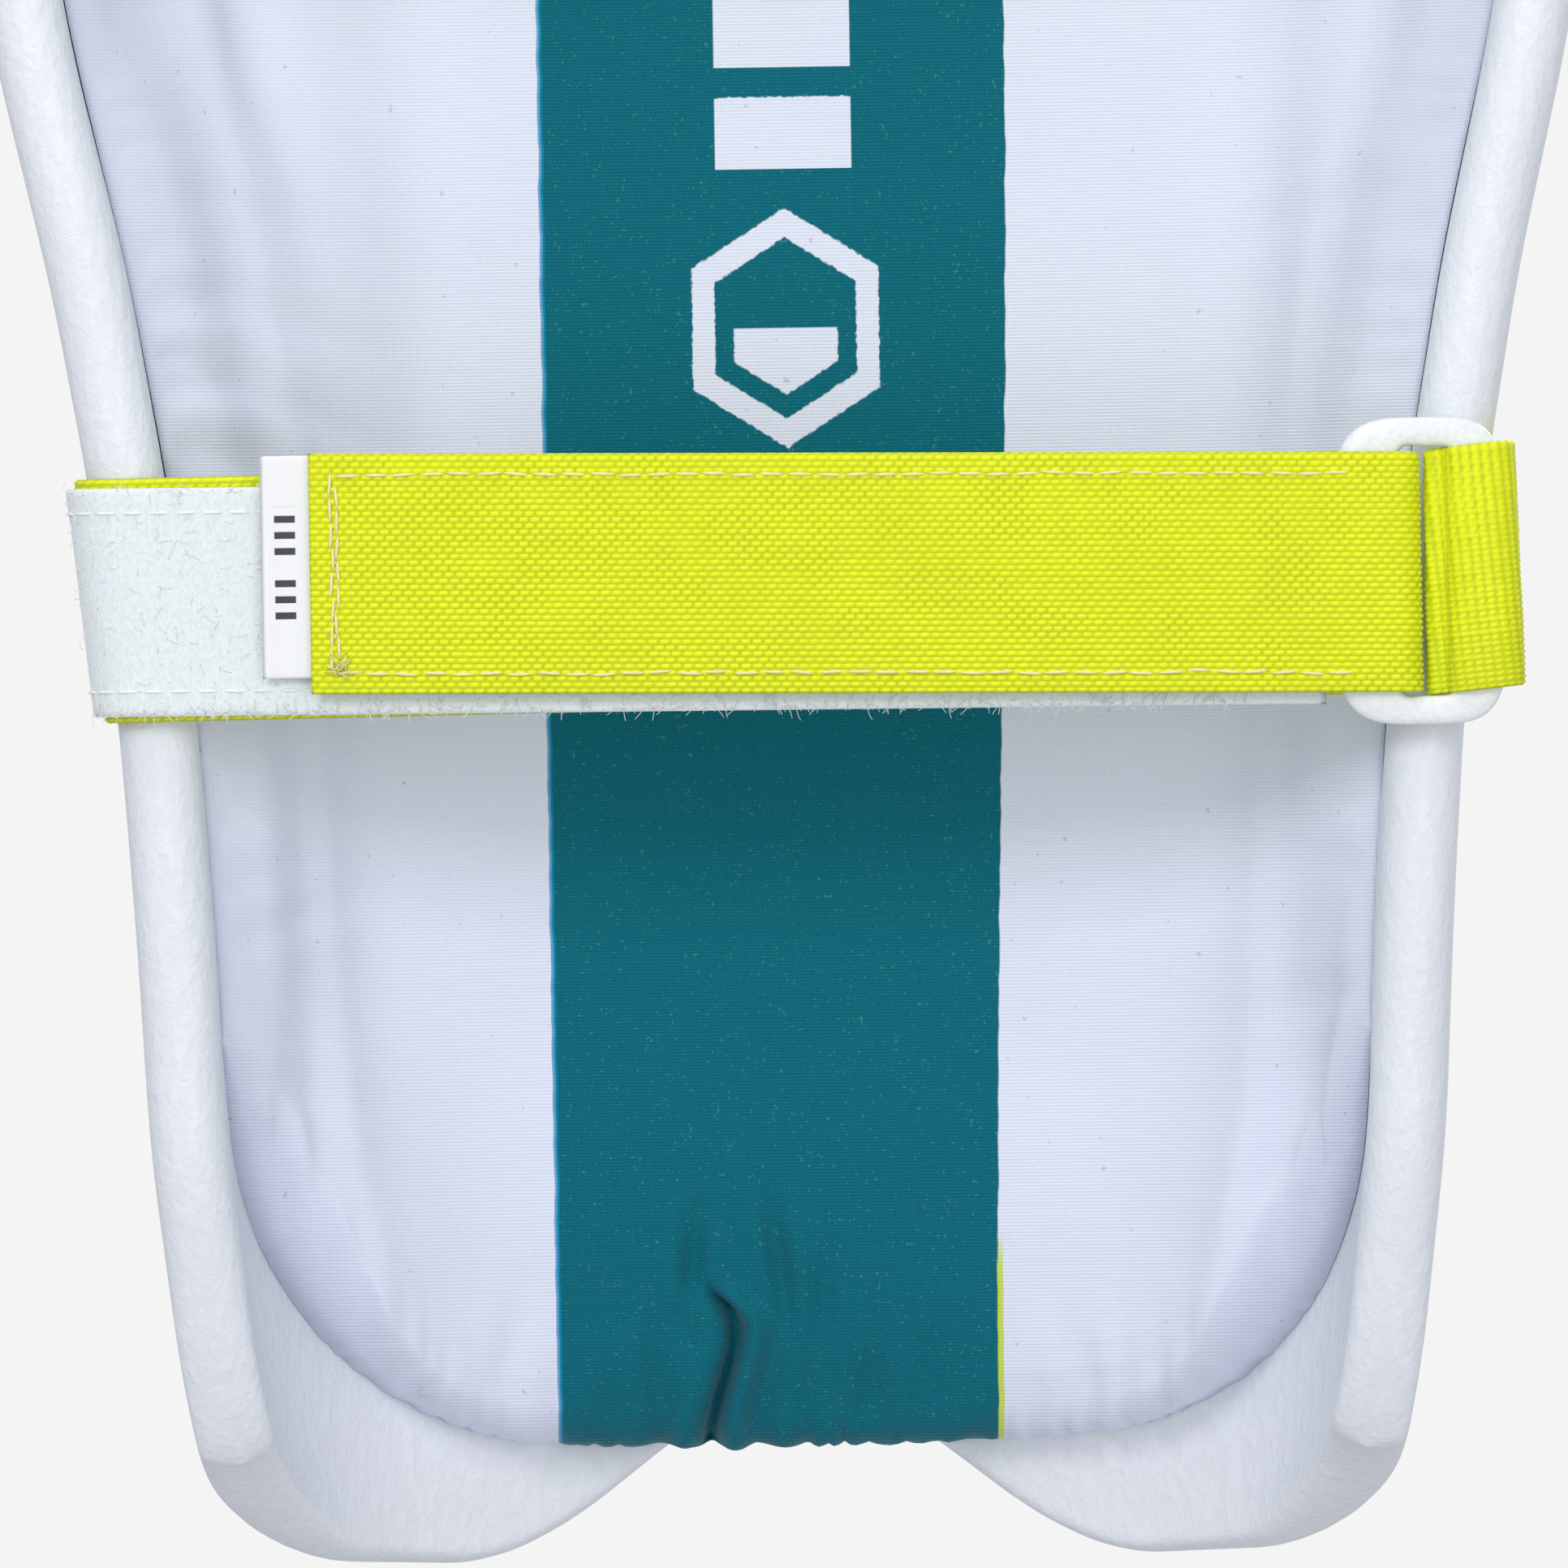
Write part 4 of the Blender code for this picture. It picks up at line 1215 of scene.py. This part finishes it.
@dataclass(frozen=True)
class Strap:
    """One strap: run and pile tape across the back, ring with its anchor, and the folded-back tail."""

    name: str
    middle: float
    tail_length: float
    labelled: bool = False
    tail_weave: Weave = Weave.PLAIN
    tail_tilt: float = -0.0135
    fibres: int = 500
    webbing_width: float = 38.0
    webbing: float = 1.6
    tape_width: float = 35.0
    tape: float = 1.4
    run_standoff: float = 0.6
    loop_tape_standoff: float = 2.4
    hook_tape_standoff: float = 4.5
    tail_standoff: float = 6.4
    sewn_length: float = 30.0
    rim_round: float = 5.0
    turn_radius: float = 2.9
    ring_overhang: float = 4.8
    anchor_corner: float = 2.0
    anchor_shoulder: float = 4.0
    anchor_patch: float = 28.5
    anchor_bend: float = 4.0
    cross_reach: float = 14.0
    anchor_slack: float = 3.5
    bar_wrap: Stations = ((-0.95, 0.6), (-0.6, 1.9), (0.6, 2.65))
    ring: Ring = field(default_factory=Ring)

    @property
    def wall(self) -> float:
        """Half width of the shell at the strap."""
        return float(between(FORM.half_width, np.array(self.middle)))

    @property
    def rim_y(self) -> float:
        """Where the strap's inner face runs, just behind the rims."""
        return -float(max(between(FORM.wing, np.array([self.middle - 19, self.middle, self.middle + 19]))))

    @property
    def bar_y(self) -> float:
        """The ring's middle plane, between run and tail."""
        return self.rim_y - (self.run_standoff + self.webbing + self.tail_standoff) / 2

    @property
    def ring_left(self) -> float:
        """The ring's left edge."""
        return self.wall + self.ring_overhang - self.ring.width

    @property
    def turn_x(self) -> float:
        """Where the tail folds round the ring's strap bar."""
        return self.ring_left + self.ring.strap_bar + 0.4

    @property
    def tail_end(self) -> float:
        """The tail's free end."""
        return self.turn_x - 3.2 - self.tail_length

    def bodies(self) -> tuple[str, str]:
        """The ring's body and the tail's."""
        return self.name + "_ring_body", self.name + "_tail_body"

    def follow_run(self, piece: bpy.types.Object) -> None:
        """Bake the piece's transform into its mesh."""
        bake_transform(piece)

    def follow_tail(self, piece: bpy.types.Object) -> None:
        """Bake the piece's transform into its mesh."""
        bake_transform(piece)

    def run_path(self, standoff: float, sewn: float, end_x: float) -> Callable[[float], list]:
        """From the left wing's outside, round the rim, and straight across the back."""

        def path_at(z: float) -> list:
            """The path at one height."""
            side = -float(between(FORM.half_width, np.array(z))) - standoff
            corner = (side + self.rim_round + standoff, self.rim_y + self.rim_round)
            points = [(side, self.rim_y + self.rim_round + sewn)] if sewn else []
            points += plan_arc(corner, self.rim_round + standoff, 180, 270, 12)
            return points + [(end_x, self.rim_y - standoff)]

        return path_at

    def tail_path(self, z: float) -> list:
        """From the free end, across the back, and round the ring's strap bar to its front."""
        points = [(self.tail_end, self.bar_y - self.turn_radius)]
        return points + plan_arc((self.turn_x, self.bar_y), self.turn_radius, -90, 90, 14)

    def anchor_path(self, z: float) -> list:
        """Two layers on the right wing's outside, joined by a loop round the ring's anchor bar."""
        inner = float(between(FORM.half_width, np.array(z))) + self.run_standoff + self.webbing / 2
        low_y = self.rim_y - self.run_standoff - self.webbing / 2
        bar_left = self.ring_left + self.ring.strap_bar + self.ring.opening[0]
        reach = self.ring_left + self.ring.width + 1.2 - 0.034 * (z - self.middle)
        shoulder = (reach - self.anchor_shoulder, self.bar_y - self.turn_radius + self.anchor_shoulder)
        foot = self.rim_y + self.anchor_bend
        points = [(inner, foot + self.anchor_patch), (inner, foot)]
        bend = (inner - self.anchor_corner, low_y + self.anchor_corner)
        points += plan_arc(bend, self.anchor_corner, 0, -90, 6)
        points += plan_arc((bar_left - self.anchor_slack, low_y - 1.0), 1.0, 90, 270, 7)
        points += [(bar_left - 2.2, low_y - 2.0), (bar_left - 1.1, low_y - 2.7)]
        points += [(bar_left + x, self.bar_y - y) for x, y in self.bar_wrap]
        points.append((bar_left + 1.8, self.bar_y - self.turn_radius))
        points += plan_arc(shoulder, self.anchor_shoulder, -90, 0, 8)
        outer = inner + self.webbing + 0.15
        return points + [(outer, foot), (outer, foot + self.anchor_patch)]

    def build_run(self) -> None:
        """Run webbing and its brushed loop tape, with stitches near both edges."""
        sag = 1.5 if self.labelled else 0.0
        end_x = self.turn_x - 0.5
        run = Band(self.name + "_run_webbing", self.run_path(self.run_standoff, self.sewn_length, end_x),
                   self.middle, self.webbing_width, self.webbing - 0.3, weave=Weave.PLAIN, relief=0.35,
                   tilt=sag / 200, tilt_from=self.turn_x).build()
        self.follow_run(run)
        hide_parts(self.name + "_strap_run")
        WEBBING.dress(run)
        path = self.run_path(self.loop_tape_standoff, 0, self.ring_left - 0.8)
        tape_band = Band(self.name + "_pile_tape", path, self.middle - sag - 0.3, self.tape_width + 0.6,
                         self.tape, cell=1.6, tilt=-0.0045, tilt_from=-self.wall)
        tape = tape_band.build()
        self.follow_run(tape)
        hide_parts(self.name + "_loop_tape")
        PILE.dress(tape)
        outer = tape_band.mesh()[0]
        rows = outer.shape[0]
        places, along, out = [], [], []
        for edge in (3.4, self.tape_width - 3.2):
            row = int(np.argmin(np.abs(outer[:, 3, 2] - outer[:, 3, 2].min() - edge)))
            line = outer[row]
            length = np.concatenate([[0], np.cumsum(np.linalg.norm(np.diff(line, axis=0), axis=1))])
            even = np.arange(2.5, length[-1] - 3, 4.2)
            spots = np.stack([np.interp(even, length, line[:, k]) for k in range(3)], axis=-1)
            ahead = np.stack([np.interp(even + 1, length, line[:, k]) for k in range(3)], axis=-1) - spots
            ahead /= np.linalg.norm(ahead, axis=1, keepdims=True)
            places.append(spots)
            along.append(ahead)
            out.append(np.cross(ahead, np.array([0.0, 0.0, 1.0])))
        stitches = Stitching(self.name + "_pile_stitches", thread=0.26, length=3.5)
        stitches = stitches.build(np.concatenate(places), np.concatenate(along), np.concatenate(out))
        self.follow_run(stitches)
        WHITE_THREAD.dress(stitches)
        draw = np.random.default_rng(7)
        row = draw.integers(2, rows - 2, self.fibres)
        column = draw.integers(1, outer.shape[1] - 8, self.fibres)
        hem = draw.random(self.fibres) < 0.4
        row[hem] = np.where(draw.random(hem.sum()) < 0.75, 2, rows - 3)
        feet = outer[row, column]
        heading = outer[row, column + 1] - feet
        heading /= np.linalg.norm(heading, axis=1, keepdims=True)
        fuzz = Fibres(self.name + "_pile_fibres", thread=0.06, seed=3)
        fuzz = fuzz.build(feet, np.cross(heading, np.array([0.0, 0.0, 1.0])), (0.5, 2.2))
        self.follow_run(fuzz)
        WHITE_THREAD.dress(fuzz)

    def build_ring(self) -> None:
        """The ring, and the anchor webbing sewn to the wing through two layers."""
        ring = self.ring.build(self.name + "_plastic_ring", self.ring_left, self.bar_y, self.middle)
        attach(ring, self.bodies()[0])
        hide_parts(self.name + "_ring")
        PLASTIC.dress(ring)
        anchor = Band(self.name + "_anchor_webbing", self.anchor_path, self.middle + 0.3,
                      self.webbing_width + 0.3, self.webbing - 0.3, Side.CENTRED, Weave.PLAIN, 0.45,
                      float_pitch=1.5, stagger=0.12, tilt=0.1, tilt_from=self.wall - 2).build()
        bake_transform(anchor)
        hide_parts(self.name + "_anchor_loop", self.name + "_anchor_patch")
        WEBBING.dress(anchor)
        x = self.wall + self.run_standoff + 2 * self.webbing + 0.1
        far = self.rim_y + self.anchor_bend + self.anchor_patch - 3.5
        self.sew_wing("anchor", x, self.rim_y + 11, far, 1.0)
        x = self.wall + self.run_standoff + self.webbing + 0.05
        far = self.rim_y + self.rim_round + self.sewn_length - 3.5
        self.sew_wing("run", x, self.rim_y + 12, far, -1.0)

    def sew_wing(self, part: str, x: float, near: float, far: float, side: float) -> None:
        """A boxed cross of stitches on a wing's outside.

        Args:
            part: which webbing it holds.
            x: distance of the webbing's face from the middle plane, at the strap's height.
            near: the seam's edge next to the rim, along y.
            far: its other edge.
            side: 1 on the right wing, -1 on the left.
        """
        low, high = self.middle - self.cross_reach, self.middle + self.cross_reach
        lean = between(FORM.half_width, np.array(high)) - between(FORM.half_width, np.array(low))
        slope = float(lean) / (2 * self.cross_reach)
        box = [(near, low), (far, low), (far, high), (near, high), (near, low), (far, high)]
        seams = [(number, box[number], box[number + 1]) for number in range(len(box) - 1)]
        seams.append((6, (near, high), (far, low)))
        places, along = [], []
        for seed, (y0, z0), (y1, z1) in seams:
            start = (side * (x + slope * (z0 - self.middle)), y0, z0)
            end = (side * (x + slope * (z1 - self.middle)), y1, z1)
            spots, headings = along_line(start, end, 4.0, seed)
            places.append(spots)
            along.append(headings)
        places, along = np.concatenate(places), np.concatenate(along)
        places[:, 0] = side * (x + slope * (places[:, 2] - self.middle))
        out = np.tile(np.array([side, 0.0, -slope]), (len(places), 1))
        out = out - along * np.sum(out * along, axis=1, keepdims=True)
        out /= np.linalg.norm(out, axis=1, keepdims=True)
        seam = Stitching(f"{self.name}_{part}_cross_stitches").build(places, along, out)
        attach(seam, "pad")
        CREAM_THREAD.dress(seam)

    def build_tail(self) -> None:
        """Tail webbing, its hook tape and seams, and the ankle strap's ribbon label."""
        middle = self.middle - 0.1
        tilt = {"tilt": self.tail_tilt, "tilt_from": self.turn_x}
        tail_band = Band(self.name + "_tail_webbing", self.tail_path, middle, self.webbing_width - 0.6,
                         self.webbing - 0.35, Side.CENTRED, self.tail_weave, wobble=0.16, **tilt)
        tail = tail_band.build()
        self.follow_tail(tail)
        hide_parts(self.name + "_strap_turn", self.name + "_strap_tail")
        WEBBING.dress(tail)
        hook_y = self.rim_y - self.hook_tape_standoff
        span = [(self.tail_end + 3.7, hook_y), (self.ring_left - 0.8, hook_y)]
        hook_band = Band(self.name + "_hooks", lambda z: span, middle, self.tape_width, self.tape, **tilt)
        hooks = hook_band.build()
        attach(hooks, self.bodies()[1])
        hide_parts(self.name + "_hook_tape")
        HOOKS.dress(hooks)
        self.sew_tail(middle)
        if self.labelled:
            self.build_label(middle + 3.4, hook_y)

    def sew_tail(self, middle: float) -> None:
        """A seam 3.5 mm inside both edges of the tail, and a double one across its end."""
        face = self.bar_y - self.turn_radius - self.webbing / 2 + 0.12
        left, right = self.tail_end + 3.8, self.ring_left + 5.0
        low, high = middle - self.webbing_width / 2 + 3.5, middle + self.webbing_width / 2 - 3.6
        lines = [((left, low), (right, low)), ((left, high), (right, high))]
        lines += [((left - 0.4, low), (left - 0.4, high)), ((left + 0.5, low + 2), (left + 0.5, high))]
        places, along = [], []
        for number, ((x0, z0), (x1, z1)) in enumerate(lines):
            pitch = 4.4 if number < 2 else 3.9
            spots, headings = along_line((x0, face, z0), (x1, face, z1), pitch, 20 + number)
            places.append(spots)
            along.append(headings)
        places, along = np.concatenate(places), np.concatenate(along)
        places[:, 2] += self.tail_tilt * (places[:, 0] - self.turn_x)
        out = np.tile(np.array([0.0, -1.0, 0.0]), (len(places), 1))
        seam = Stitching(self.name + "_tail_stitches", thread=0.27, length=3.9).build(places, along, out)
        self.follow_tail(seam)
        CREAM_THREAD.dress(seam)
        feet = np.array([[left + 0.8, face - 0.1, low + 0.6 + self.tail_tilt * (left - self.turn_x)]] * 16)
        feet = feet + np.random.default_rng(2).normal(0, 0.5, feet.shape) * np.array([1, 0, 1])
        out = np.tile(np.array([0.0, -1.0, 0.0]), (len(feet), 1))
        knot = Fibres(self.name + "_thread_ends", thread=0.13, seed=5).build(feet, out, (1.0, 2.6))
        self.follow_tail(knot)
        CREAM_THREAD.dress(knot)

    def build_label(self, middle: float, hook_y: float) -> None:
        """A ribbon caught between the tail and its hook tape, curling a little at its free end."""
        end = self.tail_end + 2.6
        start = end - 10.2
        curl = [(start, hook_y - 1.25), (start + 3, hook_y - 0.75), (start + 6, hook_y - 0.7)]
        curl.append((end, hook_y - 1.0))
        width = self.tape_width - 0.4
        label = Band(self.name + "_ribbon", lambda z: curl, middle, width, 0.55, cell=0.8).build()
        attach(label, self.bodies()[1])
        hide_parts(self.name + "_label")
        RIBBON.dress(label)

    def build(self) -> None:
        """Every piece of the strap."""
        self.build_run()
        self.build_ring()
        self.build_tail()


# --------------------------------------------------------------------------------------- stage and main


@dataclass(frozen=True)
class Stage:
    """Camera, soft lights and pale paper all round."""

    distance: float = 6000.0
    frame_width: float = 244.6
    aim: tuple[float, float] = (-1.4, 121.4)
    near_plane: float = 15.0
    roll: float = 0.9
    backdrop: float = 0.905
    glow: float = 0.6

    def build_camera(self) -> None:
        """A long lens just below the ankle strap, looking along +Y and rolled a little."""
        data = bpy.data.cameras.new("long_lens")
        data.lens = data.sensor_width * (self.distance - self.near_plane) / self.frame_width
        data.clip_end = 30
        camera = bpy.data.objects.new("long_lens", data)
        camera.location = (self.aim[0] * MM, -self.distance * MM, self.aim[1] * MM)
        camera.rotation_euler = (math.radians(90), math.radians(self.roll), 0)
        bpy.context.scene.collection.objects.link(camera)
        bpy.context.scene.camera = camera

    def add_light(self, name: str, place: tuple, size: float, power: float) -> None:
        """A square area light aimed at the pad's middle."""
        data = bpy.data.lights.new(name, "AREA")
        data.size, data.energy = size, power
        light = bpy.data.objects.new(name, data)
        light.location = place
        light.visible_camera = False
        aim = Vector((0.0, 0.0, 0.2)) - Vector(place)
        light.rotation_euler = aim.to_track_quat("-Z", "Y").to_euler()
        bpy.context.scene.collection.objects.link(light)

    def build_world(self) -> None:
        """Even pale paper behind the pad, and a dimmer, cooler glow that lights it."""
        world = bpy.data.worlds.new("studio")
        world.use_nodes = True
        graph = Graph(world.node_tree)
        glow = world.node_tree.nodes["Background"]
        glow.inputs["Color"].default_value = (0.93, 0.96, 1.0, 1.0)
        glow.inputs["Strength"].default_value = self.glow
        paper = graph.add("ShaderNodeBackground", {"Color": (self.backdrop,) * 3})
        seen = graph.add("ShaderNodeLightPath").outputs["Is Camera Ray"]
        both = graph.add("ShaderNodeMixShader", {0: seen, 1: glow.outputs[0], 2: paper.outputs[0]})
        graph.put(world.node_tree.nodes["World Output"].inputs["Surface"], both.outputs[0])
        bpy.context.scene.world = world

    def build(self) -> None:
        """Camera, lights and world."""
        bpy.context.scene.view_settings.view_transform = "Standard"
        self.build_camera()
        self.add_light("key", (-0.75, -2.2, 1.2), 0.7, 19)
        self.add_light("fill", (0.8, -2.4, 0.2), 1.6, 15)
        self.add_light("top", (-0.4, -0.6, 2.4), 1.0, 14)
        self.add_light("back", (0.9, 2.2, 1.3), 1.4, 34)
        self.build_world()


def main() -> None:
    """Build every piece over the CAD frame, then set the stage."""
    logging.basicConfig(level=logging.INFO, format="%(message)s")
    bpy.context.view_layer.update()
    Shell().build()
    ShinLiner("shin_liner", 21.6, 358.0, 10.6, 0.90, rise=60.0, columns=196, rows=230).build(LINING)
    KneeBolster("knee_bolster", 368.0, 468.0, 15.6, 0.84).build(PLAIN_LINING)
    TopLiner("top_liner", 478.0, 582.0, 9.6, 0.84).build(PLAIN_LINING)
    Strap("ankle", 153.0, 166.1, labelled=True, tail_weave=Weave.FINE, fibres=1400).build()
    Strap("calf", 300.0, 205.0).build()
    Strap("knee", 432.0, 200.0).build()
    Stage().build()


if __name__ == "__main__":
    main()
